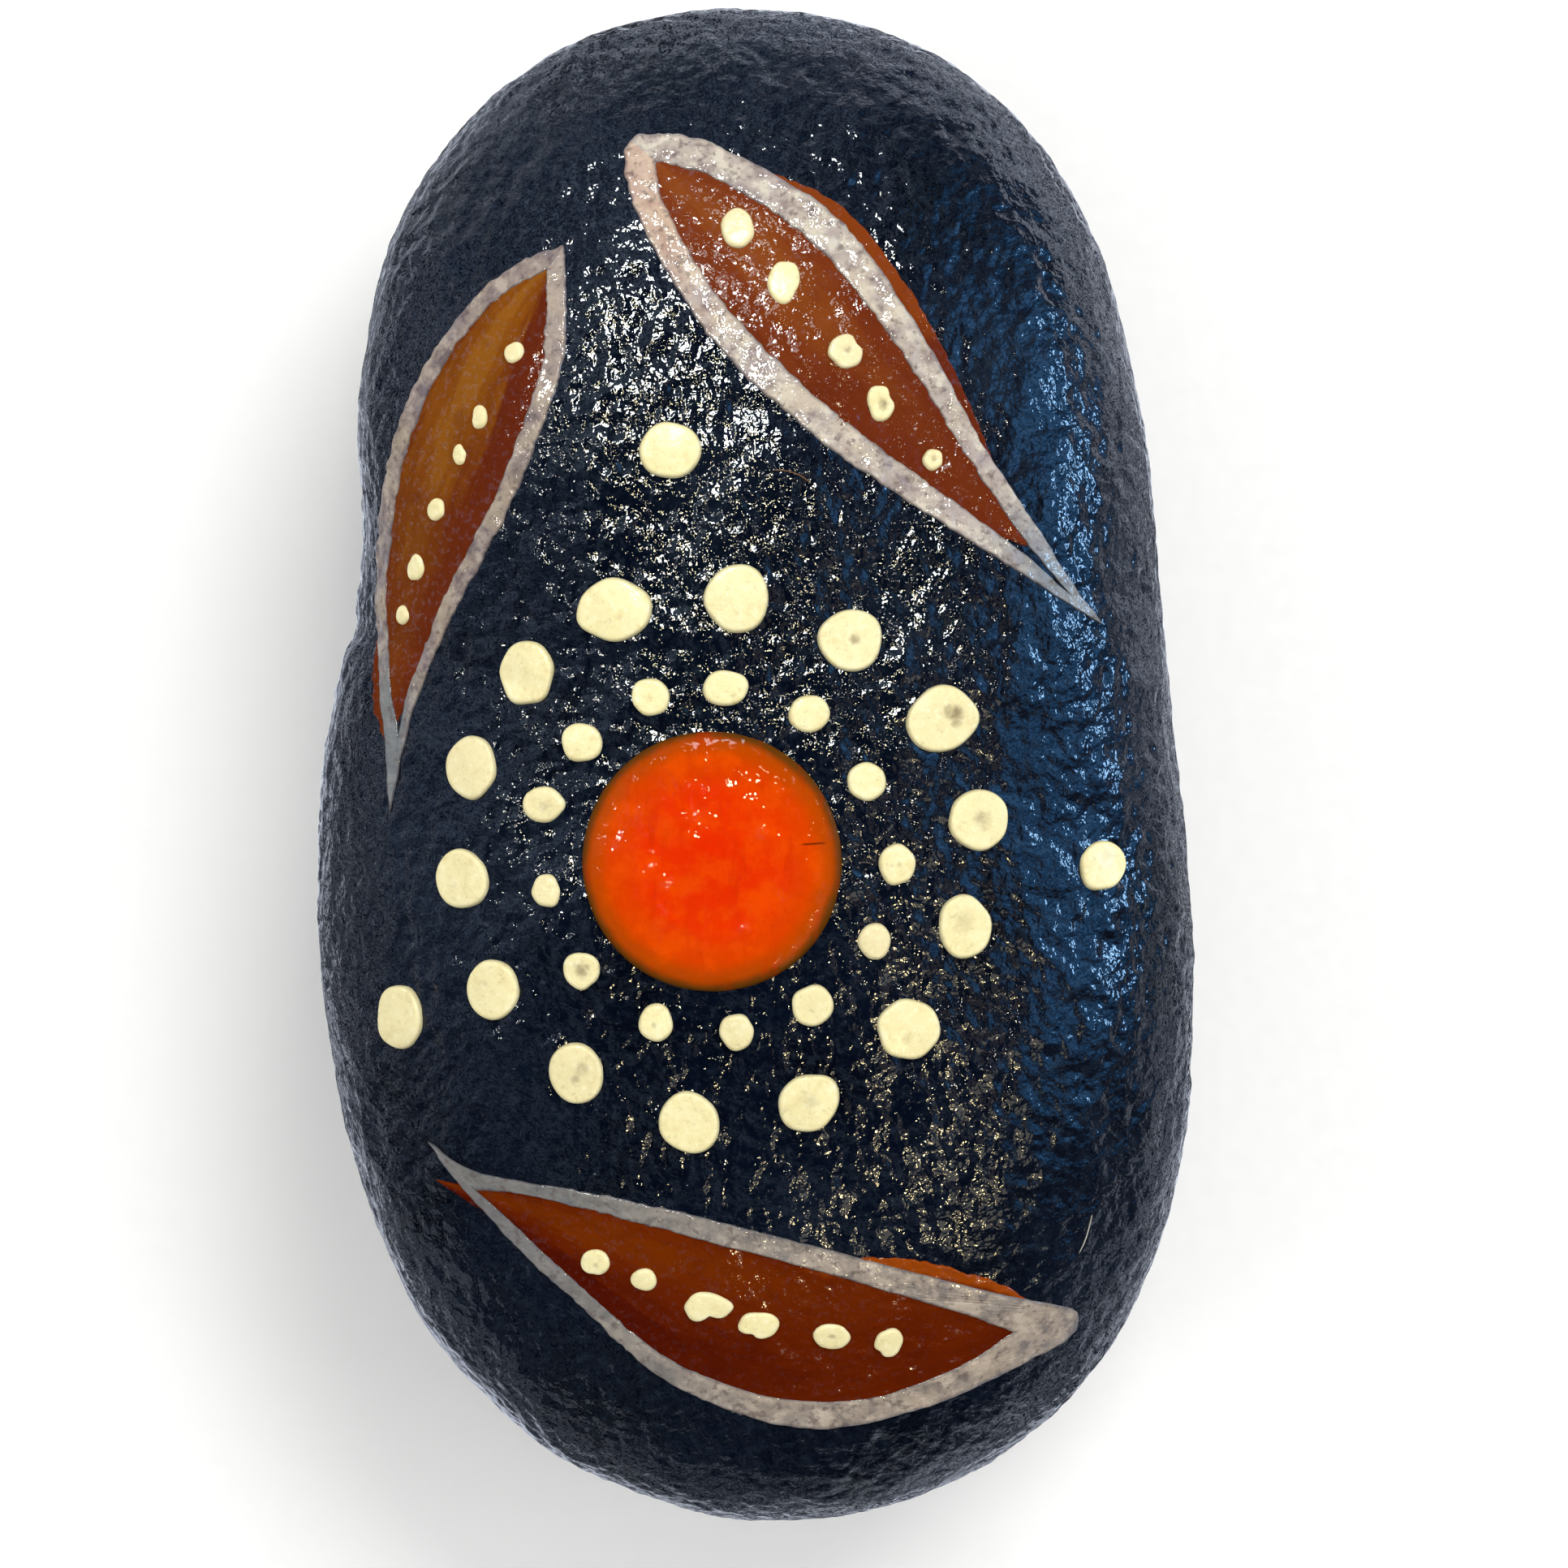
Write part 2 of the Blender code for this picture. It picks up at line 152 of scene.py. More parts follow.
def slow_relief(p):
    """Undulations of the stone that thick paint still follows, mm. They die down
    towards the widest line, where the stone is also worn a little leaner."""
    up = np.clip((p[..., 2] - WAIST - 1.0) / 11.0, 0, 1)
    up = up * up * (3 - 2 * up)
    turn = np.degrees(np.arctan2(p[..., 1], p[..., 0]))
    lean = 0.17 + 0.12 * np.exp(-(((turn + 90) / 45) ** 2)) \
        + 0.26 * np.exp(-(((turn - 80) / 9) ** 2))
    waves = (0.22 * noise(p / 9.0 + 3.1) + 0.16 * noise(p / 4.6 + 11.7)
             + 0.075 * noise(p / 2.5 + 5.3))
    return waves * (0.45 + 0.55 * up) - lean * (1 - up)


def fine_relief(p):
    """Pits and orange peel of the varnished stone, mm."""
    rough = 1.0 + 0.5 * noise(p / 7.0 + 40.0)
    return rough * (0.090 * noise(p / 1.45 + 17.0) + 0.060 * noise(p / 0.85 + 23.0)) \
        - 0.13 * pits(p, 1.5, 0.35) - 0.09 * pits(p + 7.7, 0.95, 0.32)


# --------------------------------------------------------------------- meshes
def make(name, verts, faces, material, node, slot, smooth=True, **attributes):
    """A piece from points in mm and quads or triangles (-1 pads a triangle)."""
    mesh = bpy.data.meshes.new(name)
    verts = np.asarray(verts, float) * MM
    faces = np.asarray(faces, int)
    counts = np.where(faces[:, -1] < 0, 3, 4) if faces.shape[1] == 4 else np.full(len(faces), 3)
    flat = faces[faces >= 0]
    mesh.vertices.add(len(verts))
    mesh.vertices.foreach_set("co", verts.astype(np.float32).ravel())
    mesh.loops.add(len(flat))
    mesh.loops.foreach_set("vertex_index", flat.astype(np.int32))
    mesh.polygons.add(len(counts))
    mesh.polygons.foreach_set("loop_start",
                              np.concatenate([[0], np.cumsum(counts)[:-1]]).astype(np.int32))
    mesh.update(calc_edges=True)
    mesh.validate()
    if smooth:
        mesh.shade_smooth()
    for key, values in attributes.items():
        a = mesh.attributes.new(key, "FLOAT", "POINT")
        a.data.foreach_set("value", np.asarray(values, np.float32))
    mesh.materials.append(material)
    piece = bpy.data.objects.new(name, mesh)
    bpy.context.scene.collection.objects.link(piece)
    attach(piece, "root")
    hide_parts(*([node] if isinstance(node, str) else node))
    return piece


def ring_faces(rows, around, start=0):
    """Quads of a tube of rows by around points, row-major, closed round."""
    r, a = np.meshgrid(np.arange(rows - 1), np.arange(around), indexing="ij")
    r, a = r.ravel(), a.ravel()
    b = (a + 1) % around
    return start + np.stack([r * around + a, (r + 1) * around + a,
                             (r + 1) * around + b, r * around + b], 1)


def fan(tip, ring, flip=False):
    nxt = np.roll(ring, -1)
    tri = np.stack([np.full(len(ring), tip), ring, nxt, np.full(len(ring), -1)], 1)
    if flip:
        tri[:, [1, 2]] = tri[:, [2, 1]]
    return tri


def normals_of_rows(points, rows, around):
    """Outward normals of a row-major closed grid, by its own differences."""
    g = points.reshape(rows, around, 3)
    along = np.gradient(g, axis=0)
    across = np.roll(g, -1, 1) - np.roll(g, 1, 1)
    n = np.cross(along, across)
    n /= np.linalg.norm(n, axis=-1, keepdims=True) + 1e-12
    return n.reshape(-1, 3)


def meridian(fine, count, lowest):
    """Polar angles, from near the top down to the height lowest, evenly spaced
    along a middling section of the stone. fine gives many trial angles."""
    t = np.linspace(0, math.pi, fine)
    r = 38 * np.sin(t)
    z = np.where(t < math.pi / 2, CREST, BELLY) * np.cos(t)
    length = np.concatenate([[0], np.cumsum(np.hypot(np.diff(r), np.diff(z)))])
    u = np.stack([np.sin(t) * 0.8, np.sin(t) * 0.6, np.cos(t)], 1)
    z_at = round_the_stone(u)[:, 2]
    end = length[np.argmax((t > math.pi / 2) & (z_at <= lowest))] if lowest > -50 else length[-1]
    return np.interp(np.linspace(0, end, count + 1)[1:], length, t)


# ------------------------------------------------------------------ materials
def new_material(name):
    material = bpy.data.materials.new(name)
    material.use_nodes = True
    nodes, links = material.node_tree.nodes, material.node_tree.links
    return material, nodes, links, nodes["Principled BSDF"]


def noise_node(nodes, links, coords, scale, detail=3.0, rough=0.6, distortion=0.0):
    n = nodes.new("ShaderNodeTexNoise")
    n.inputs["Scale"].default_value = scale
    n.inputs["Detail"].default_value = detail
    n.inputs["Roughness"].default_value = rough
    n.inputs["Distortion"].default_value = distortion
    links.new(coords, n.inputs["Vector"])
    return n.outputs["Fac"]


def ramp(nodes, links, fac, *stops):
    r = nodes.new("ShaderNodeValToRGB")
    r.color_ramp.interpolation = "EASE"
    e = r.color_ramp.elements
    while len(e) < len(stops):
        e.new(0.5)
    for element, (at, colour) in zip(e, stops):
        element.position = at
        colour = (colour,) * 3 if isinstance(colour, (int, float)) else colour
        element.color = (*colour, 1.0)
    links.new(fac, r.inputs["Fac"])
    return r.outputs["Color"]


def mix(nodes, links, fac, a, b, blend="MIX"):
    m = nodes.new("ShaderNodeMix")
    m.data_type, m.blend_type = "RGBA", blend
    for socket, value in ((m.inputs["Factor"], fac), (m.inputs["A"], a), (m.inputs["B"], b)):
        if isinstance(value, bpy.types.NodeSocket):
            links.new(value, socket)
        elif isinstance(value, tuple):
            socket.default_value = (*value, 1.0)
        else:
            socket.default_value = value
    return m.outputs["Result"]


def maths(nodes, links, operation, *values):
    m = nodes.new("ShaderNodeMath")
    m.operation = operation
    for socket, value in zip(m.inputs, values):
        if isinstance(value, bpy.types.NodeSocket):
            links.new(value, socket)
        else:
            socket.default_value = value
    return m.outputs[0]


def attribute(nodes, name):
    a = nodes.new("ShaderNodeAttribute")
    a.attribute_name = name
    return a.outputs["Fac"]


def bump(nodes, links, height, distance, normal=None, strength=1.0):
    b = nodes.new("ShaderNodeBump")
    b.inputs["Strength"].default_value = strength
    b.inputs["Distance"].default_value = distance
    links.new(height, b.inputs["Height"])
    if normal is not None:
        links.new(normal, b.inputs["Normal"])
    return b.outputs["Normal"]


def object_coords(nodes):
    return nodes.new("ShaderNodeTexCoord").outputs["Object"]


def varnish(shader, weight, rough, ior=1.43):
    shader.inputs["Coat Weight"].default_value = weight
    shader.inputs["Coat Roughness"].default_value = rough
    shader.inputs["Coat IOR"].default_value = ior


def coat_material():
    """Blue-black acrylic on pitted stone, under gloss varnish."""
    material, nodes, links, shader = new_material("night_blue")
    co = object_coords(nodes)
    cloud = noise_node(nodes, links, co, 90, 4, 0.6)
    grain = noise_node(nodes, links, co, 1500, 3, 0.6)
    colour = ramp(nodes, links, cloud, (0.30, (0.0005, 0.0011, 0.0036)),
                  (0.52, (0.0014, 0.0030, 0.0088)), (0.74, (0.0046, 0.0078, 0.0165)))
    colour = mix(nodes, links, ramp(nodes, links, grain, (0.45, 0.0), (0.75, 0.7)),
                 colour, (0.0095, 0.0155, 0.027))
    hair = attribute(nodes, "hair")
    colour = mix(nodes, links, ramp(nodes, links, hair, (0.2, 0.0), (0.45, 1.0)), colour,
                 (0.16, 0.085, 0.040))
    colour = mix(nodes, links, ramp(nodes, links, hair, (0.7, 0.0), (0.95, 1.0)), colour,
                 (0.42, 0.41, 0.36))
    links.new(colour, shader.inputs["Base Color"])
    links.new(ramp(nodes, links, grain, (0.3, 0.45), (0.7, 0.75)), shader.inputs["Roughness"])
    shader.inputs["Specular IOR Level"].default_value = 0.0
    varnish(shader, 1.0, 0.02)
    fine = noise_node(nodes, links, co, 1350, 2.0, 0.50)
    normal = bump(nodes, links, fine, 0.00015)
    links.new(normal, shader.inputs["Normal"])
    links.new(normal, shader.inputs["Coat Normal"])
    return material


def bare_material():
    """Dry grey-brown river stone."""
    material, nodes, links, shader = new_material("bare_stone")
    co = object_coords(nodes)
    cloud = noise_node(nodes, links, co, 120, 5, 0.65)
    grain = noise_node(nodes, links, co, 1800, 3, 0.7)
    colour = ramp(nodes, links, cloud, (0.3, (0.11, 0.10, 0.085)), (0.5, (0.20, 0.185, 0.16)),
                  (0.72, (0.30, 0.285, 0.26)))
    colour = mix(nodes, links, ramp(nodes, links, grain, (0.45, 0.0), (0.75, 0.7)),
                 colour, (0.055, 0.05, 0.045))
    links.new(colour, shader.inputs["Base Color"])
    links.new(ramp(nodes, links, grain, (0.3, 0.75), (0.7, 0.95)), shader.inputs["Roughness"])
    normal = bump(nodes, links, grain, 0.00006)
    links.new(normal, shader.inputs["Normal"])
    return material


def sun_material():
    """Thick glossy orange, redder in the middle, thin and olive at its rim."""
    material, nodes, links, shader = new_material("sun_orange")
    co = object_coords(nodes)
    out = attribute(nodes, "out")
    wobble = noise_node(nodes, links, co, 260, 3, 0.6)
    place = maths(nodes, links, "ADD", out, maths(nodes, links, "MULTIPLY",
                  maths(nodes, links, "SUBTRACT", wobble, 0.5), 0.07))
    colour = ramp(nodes, links, place, (0.0, (0.73, 0.022, 0.0002)), (0.50, (0.74, 0.030, 0.0002)),
                  (0.74, (0.64, 0.046, 0.0003)), (0.90, (0.44, 0.056, 0.0006)),
                  (0.985, (0.11, 0.036, 0.003)))
    cloud = noise_node(nodes, links, co, 420, 4, 0.65)
    inside = ramp(nodes, links, place, (0.78, 1.0), (0.92, 0.0))
    colour = mix(nodes, links, maths(nodes, links, "MULTIPLY", inside,
                 ramp(nodes, links, cloud, (0.42, 0.0), (0.68, 0.55))),
                 colour, (0.80, 0.085, 0.0006))
    stretch = nodes.new("ShaderNodeMapping")
    stretch.inputs["Scale"].default_value = (1.0, 0.22, 0.3)
    links.new(co, stretch.inputs["Vector"])
    streak = noise_node(nodes, links, stretch.outputs[0], 900, 3, 0.6)
    colour = mix(nodes, links, ramp(nodes, links, streak, (0.52, 0.0), (0.72, 0.35)),
                 colour, (0.50, 0.016, 0.0003))
    # A hairline crack to the right of the middle.
    split = nodes.new("ShaderNodeSeparateXYZ")
    links.new(co, split.inputs[0])
    off_x = maths(nodes, links, "ABSOLUTE", maths(nodes, links, "SUBTRACT", split.outputs["X"], 0.0038))
    slant = maths(nodes, links, "MULTIPLY_ADD", split.outputs["X"], -0.06, 0.0)
    off_y = maths(nodes, links, "ABSOLUTE", maths(nodes, links, "SUBTRACT",
                  maths(nodes, links, "ADD", split.outputs["Y"], slant), -0.0052))
    crack = maths(nodes, links, "MULTIPLY",
                  ramp(nodes, links, maths(nodes, links, "MULTIPLY", off_y, 1000.0), (0.02, 1.0), (0.09, 0.0)),
                  ramp(nodes, links, maths(nodes, links, "MULTIPLY", off_x, 1000.0), (0.45, 0.85), (0.95, 0.0)))
    colour = mix(nodes, links, crack, colour, (0.09, 0.012, 0.002))
    links.new(colour, shader.inputs["Base Color"])
    links.new(ramp(nodes, links, cloud, (0.3, 0.40), (0.7, 0.60)), shader.inputs["Roughness"])
    shader.inputs["Specular IOR Level"].default_value = 0.0
    varnish(shader, 0.9, 0.012)
    links.new(ramp(nodes, links, place, (0.55, 0.90), (0.88, 0.12)), shader.inputs["Coat Weight"])
    fine = noise_node(nodes, links, co, 1000, 2, 0.5)
    normal = bump(nodes, links, fine, 0.00009)
    links.new(normal, shader.inputs["Normal"])
    links.new(normal, shader.inputs["Coat Normal"])
    return material


def cream_material():
    """Cream acrylic drops: chalky face, thin varnish, pinholes and tea-brown specks."""
    material, nodes, links, shader = new_material("dot_cream")
    co = object_coords(nodes)
    tone = attribute(nodes, "tone")
    stain = attribute(nodes, "stain")
    edge = attribute(nodes, "edge")
    cloud = noise_node(nodes, links, co, 900, 4, 0.65)
    grain = noise_node(nodes, links, co, 5200, 2, 0.6)
    colour = ramp(nodes, links, cloud, (0.3, (0.80, 0.69, 0.34)), (0.5, (0.88, 0.79, 0.42)),
                  (0.7, (0.92, 0.85, 0.51)))
    colour = mix(nodes, links, tone, colour, (0.74, 0.64, 0.38))
    fleck = noise_node(nodes, links, co, 2300, 3, 0.65)
    colour = mix(nodes, links, ramp(nodes, links, fleck, (0.56, 0.0), (0.74, 0.42)),
                 colour, (0.50, 0.42, 0.22))
    colour = mix(nodes, links, ramp(nodes, links, fleck, (0.30, 0.5), (0.46, 0.0)),
                 colour, (0.97, 0.93, 0.66))
    colour = mix(nodes, links, ramp(nodes, links, grain, (0.60, 0.0), (0.8, 0.30)),
                 colour, (0.55, 0.46, 0.24))
    worn = maths(nodes, links, "MULTIPLY", stain, ramp(nodes, links, cloud, (0.35, 0.35), (0.6, 1.0)))
    colour = mix(nodes, links, worn, colour, (0.22, 0.15, 0.07))
    colour = mix(nodes, links, ramp(nodes, links, edge, (0.90, 0.0), (1.0, 0.55)),
                 colour, (0.30, 0.27, 0.16))
    links.new(colour, shader.inputs["Base Color"])
    links.new(ramp(nodes, links, cloud, (0.3, 0.40), (0.7, 0.60)), shader.inputs["Roughness"])
    shader.inputs["Specular IOR Level"].default_value = 0.2
    varnish(shader, 0.3, 0.12)
    normal = bump(nodes, links, grain, 0.000012)
    normal = bump(nodes, links, cloud, 0.00003, normal)
    links.new(normal, shader.inputs["Normal"])
    links.new(normal, shader.inputs["Coat Normal"])
    return material


def leaf_material(name, middle, bright, dark, bright_at, tail, spill=None, gloss=(0.54, 0.62),
                  spread=1.0):
    """A brushed wash: brighter ochre along the middle, deep red at its edges,
    turning to the tail colour along its length. spill is (colour, from, to): a
    brighter run of paint that went over the outer edge there. The varnish soaked
    in, and stands in droplets where a noise passes gloss."""
    material, nodes, links, shader = new_material(name)
    co = object_coords(nodes)
    across = attribute(nodes, "across")
    along = attribute(nodes, "along")
    combine = nodes.new("ShaderNodeCombineXYZ")
    links.new(maths(nodes, links, "MULTIPLY", along, 5.0), combine.inputs["X"])
    links.new(maths(nodes, links, "MULTIPLY", across, 9.0), combine.inputs["Y"])
    streak = noise_node(nodes, links, combine.outputs[0], 1.3, 4, 0.55, 0.6)
    cloud = noise_node(nodes, links, co, 330, 3, 0.6)
    off = maths(nodes, links, "ABSOLUTE", maths(nodes, links, "SUBTRACT", across, bright_at))
    place = maths(nodes, links, "ADD", off,
                  maths(nodes, links, "MULTIPLY", maths(nodes, links, "SUBTRACT", streak, 0.5), 0.45))
    colour = ramp(nodes, links, place, (0.02, bright), (0.24 * spread, middle), (0.50 * spread, dark))
    wander = maths(nodes, links, "ADD", along,
                   maths(nodes, links, "MULTIPLY", maths(nodes, links, "SUBTRACT", cloud, 0.5), 0.5))
    colour = mix(nodes, links, ramp(nodes, links, wander, (0.30, 0.0), (0.75, 0.8)), colour, tail)
    colour = mix(nodes, links, ramp(nodes, links, cloud, (0.5, 0.0), (0.8, 0.35)), colour, dark)
    if spill:
        tint, begin, end = spill
        run = ramp(nodes, links, wander, (begin - 0.08, 0.0), (begin + 0.05, 1.0),
                   (end - 0.05, 1.0), (end + 0.08, 0.0))
        rim = ramp(nodes, links, across, (0.86, 0.0), (0.93, 0.9), (0.985, 0.9), (1.0, 0.3))
        colour = mix(nodes, links, maths(nodes, links, "MULTIPLY", run, rim), colour, tint)
    links.new(colour, shader.inputs["Base Color"])
    links.new(ramp(nodes, links, cloud, (0.3, 0.45), (0.7, 0.65)), shader.inputs["Roughness"])
    shader.inputs["Specular IOR Level"].default_value = 0.0
    varnish(shader, 0.8, 0.025)
    pooled = noise_node(nodes, links, co, 2500, 1.5, 0.5)
    links.new(ramp(nodes, links, pooled, (gloss[0], 0.10), (gloss[1], 1.0)),
              shader.inputs["Coat Weight"])
    fine = noise_node(nodes, links, co, 1700, 2.0, 0.5)
    normal = bump(nodes, links, fine, 0.000095)
    links.new(normal, shader.inputs["Normal"])
    links.new(normal, shader.inputs["Coat Normal"])
    return material


def outline_material(name, light, mid, shade, warm, cool, head, tail, tail_at, tail_from=0.74,
                     head_share=0.55):
    """A dry, grey-white brush line: the dark grain of the stone shows through,
    with cream flecks, plum stains, a head colour where the stroke begins and a
    thinner, cooler tail at tail_at (0 or 1) of its length."""
    material, nodes, links, shader = new_material(name)
    co = object_coords(nodes)
    edge = attribute(nodes, "edge")
    along = attribute(nodes, "along")
    cloud = noise_node(nodes, links, co, 800, 3, 0.62)
    speck = noise_node(nodes, links, co, 1900, 3, 0.6)
    tint = noise_node(nodes, links, co, 330, 3, 0.6)
    colour = ramp(nodes, links, cloud, (0.34, shade), (0.50, mid), (0.64, light))
    colour = mix(nodes, links, ramp(nodes, links, tint, (0.50, 0.0), (0.66, 0.55)), colour, warm)
    colour = mix(nodes, links, ramp(nodes, links, tint, (0.34, 0.6), (0.46, 0.0)), colour, cool)
    wander = maths(nodes, links, "MULTIPLY", maths(nodes, links, "SUBTRACT", tint, 0.5), 0.16)
    # along runs from one tip to the other and back: fold it to 0..1..0.
    fold = maths(nodes, links, "SUBTRACT", 1.0, maths(nodes, links, "ABSOLUTE",
                 maths(nodes, links, "MULTIPLY_ADD", along, 2.0, -1.0)))
    near = maths(nodes, links, "ADD", fold if tail_at else maths(nodes, links, "SUBTRACT", 1.0, fold),
                 wander)
    colour = mix(nodes, links, ramp(nodes, links, near, (tail_from, 0.0), (0.93, 0.80)), colour, tail)
    start = maths(nodes, links, "ADD", along, wander)
    colour = mix(nodes, links, ramp(nodes, links, start, (0.82, 0.0), (0.95, head_share)), colour, head)
    colour = mix(nodes, links, ramp(nodes, links, speck, (0.53, 0.0), (0.68, 0.62)),
                 colour, (0.105, 0.075, 0.070))
    thin = ramp(nodes, links, edge, (0.70, 0.0), (1.0, 0.70))
    colour = mix(nodes, links, thin, colour, (0.050, 0.045, 0.060))
    links.new(colour, shader.inputs["Base Color"])
    links.new(ramp(nodes, links, speck, (0.3, 0.50), (0.7, 0.7)), shader.inputs["Roughness"])
    shader.inputs["Specular IOR Level"].default_value = 0.1
    varnish(shader, 0.9, 0.03)
    fine = noise_node(nodes, links, co, 1350, 2.0, 0.55)
    normal = bump(nodes, links, fine, 0.00015)
    links.new(normal, shader.inputs["Normal"])
    links.new(normal, shader.inputs["Coat Normal"])
    return material


# -------------------------------------------------------------- stone and coat
# Brush hairs caught in the varnish: plan ends, sideways bow, shade (1 pale, 0.5 brown).
BRISTLES = (((1.25, 18.2), (3.65, 17.4), 0.28, 0.5), ((20.6, -31.0), (21.5, -28.5), -0.10, 1.0))


def bristle(start, end, bow, rows=14, sides=6, radius=0.045):
    """A hair lying on the paint, tapered at both ends."""
    t = np.linspace(0, 1, rows)
    along = end - start
    left = np.array((-along[1], along[0])) / np.linalg.norm(along)
    plan = start + along * t[:, None] + left * (bow * 4 * t * (1 - t))[:, None]
    base, n = over(plan[:, 0], plan[:, 1])
    middle = base + n * (slow_relief(base) + fine_relief(base) * 0.4 + 0.05)[:, None]
    ahead = np.gradient(middle, axis=0)
    ahead /= np.linalg.norm(ahead, axis=1, keepdims=True)
    across = np.cross(n, ahead)
    up = np.cross(ahead, across)
    turn = np.arange(sides) / sides * math.tau
    thick = radius * np.sqrt(np.clip(1 - (2 * t - 1) ** 6, 0.05, 1))
    tube = (middle[:, None] + thick[:, None, None]
            * (np.cos(turn)[None, :, None] * across[:, None] + np.sin(turn)[None, :, None] * up[:, None]))
    tube = np.concatenate([tube.reshape(-1, 3), middle[:1], middle[-1:]])
    skin = np.concatenate([ring_faces(rows, sides), fan(rows * sides, np.arange(sides)),
                           fan(rows * sides + 1, (rows - 1) * sides + np.arange(sides), flip=True)])
    return tube, skin


def build_coat(material):
    around = 1200
    rows = 250
    polar = meridian(4000, rows, COAT_EDGE)
    turn = np.arange(around) / around * math.tau
    t, a = np.meshgrid(polar, turn, indexing="ij")
    u = np.stack([np.sin(t) * np.cos(a), np.sin(t) * np.sin(a), np.cos(t)], -1).reshape(-1, 3)
    base = round_the_stone(u)
    n = normals_of_rows(base, rows, around)
    relief = slow_relief(base) + fine_relief(base)
    edge_row = base.reshape(rows, around, 3)[-1]
    outer = base + n * relief[:, None]
    outer = outer.reshape(rows, around, 3)
    # The paint edge wanders a little up and down the belly.
    wander = 0.5 * noise(edge_row / 6.0 + 60.0) + 0.25 * noise(edge_row / 1.7 + 61.0)
    outer[-1, :, 2] += wander * 0.5
    outer[-2, :, 2] += wander * 0.25
    # An edge lip turns in under the film, and a coarse inner wall closes it.
    inner_rows = 30
    inner_polar = np.linspace(polar[-1] - 0.004, polar[0], inner_rows)
    t, a = np.meshgrid(inner_polar, turn, indexing="ij")
    ui = np.stack([np.sin(t) * np.cos(a), np.sin(t) * np.sin(a), np.cos(t)], -1).reshape(-1, 3)
    inner_base = round_the_stone(ui)
    # These rows climb, so their normals point into the stone.
    inner = inner_base + 0.55 * normals_of_rows(inner_base, inner_rows, around)
    top_base = round_the_stone(np.array([[1e-6, 0, 1.0]]))
    tip = top_base[0] + (0, 0, float((slow_relief(top_base) + fine_relief(top_base))[0]))
    verts = np.concatenate([outer.reshape(-1, 3), inner, [tip], [top_base[0] - (0, 0, 0.55)]])
    total = rows + inner_rows
    faces = ring_faces(total, around)
    first = np.arange(around)
    last = (total - 1) * around + np.arange(around)
    top = fan(total * around, first)
    bottom = fan(total * around + 1, last, flip=True)
    faces = np.concatenate([faces, top, bottom])
    hair = np.zeros(len(verts))
    for k, (start, end, bow, shade) in enumerate(BRISTLES):
        tube, skin = bristle(np.array(start), np.array(end), bow)
        faces = np.concatenate([faces, np.where(skin < 0, -1, skin + len(verts))])
        verts = np.concatenate([verts, tube])
        hair = np.concatenate([hair, np.full(len(tube), shade)])
    return make("varnished_coat", verts, faces, material, "base_coat", "base_coat", hair=hair)


def build_core(material):
    around, rows = 360, 170
    polar = meridian(4000, rows, -99)[:-1]
    rows = len(polar)
    turn = np.arange(around) / around * math.tau
    t, a = np.meshgrid(polar, turn, indexing="ij")
    u = np.stack([np.sin(t) * np.cos(a), np.sin(t) * np.sin(a), np.cos(t)], -1).reshape(-1, 3)
    base = round_the_stone(u)
    n = normals_of_rows(base, rows, around)
    under = np.clip((COAT_EDGE + 0.9 - base[:, 2]) / 0.6, 0, 1)
    under = under * under * (3 - 2 * under)
    depth = 1.0 - 0.86 * under
    relief = slow_relief(base) + fine_relief(base) * 0.8
    p = base + n * (relief - depth)[:, None]
    p[:, 2] = np.maximum(p[:, 2], 0.0)
    verts = np.concatenate([p, [[0, 0, WAIST + CREST - 1.4]], [[0, 0, 0.0]]])
    faces = np.concatenate([ring_faces(rows, around), fan(rows * around, np.arange(around)),
                            fan(rows * around + 1, (rows - 1) * around + np.arange(around),
                                flip=True)])
    return make("bare_river_stone", verts, faces, material, "stone_core", "bare_stone")


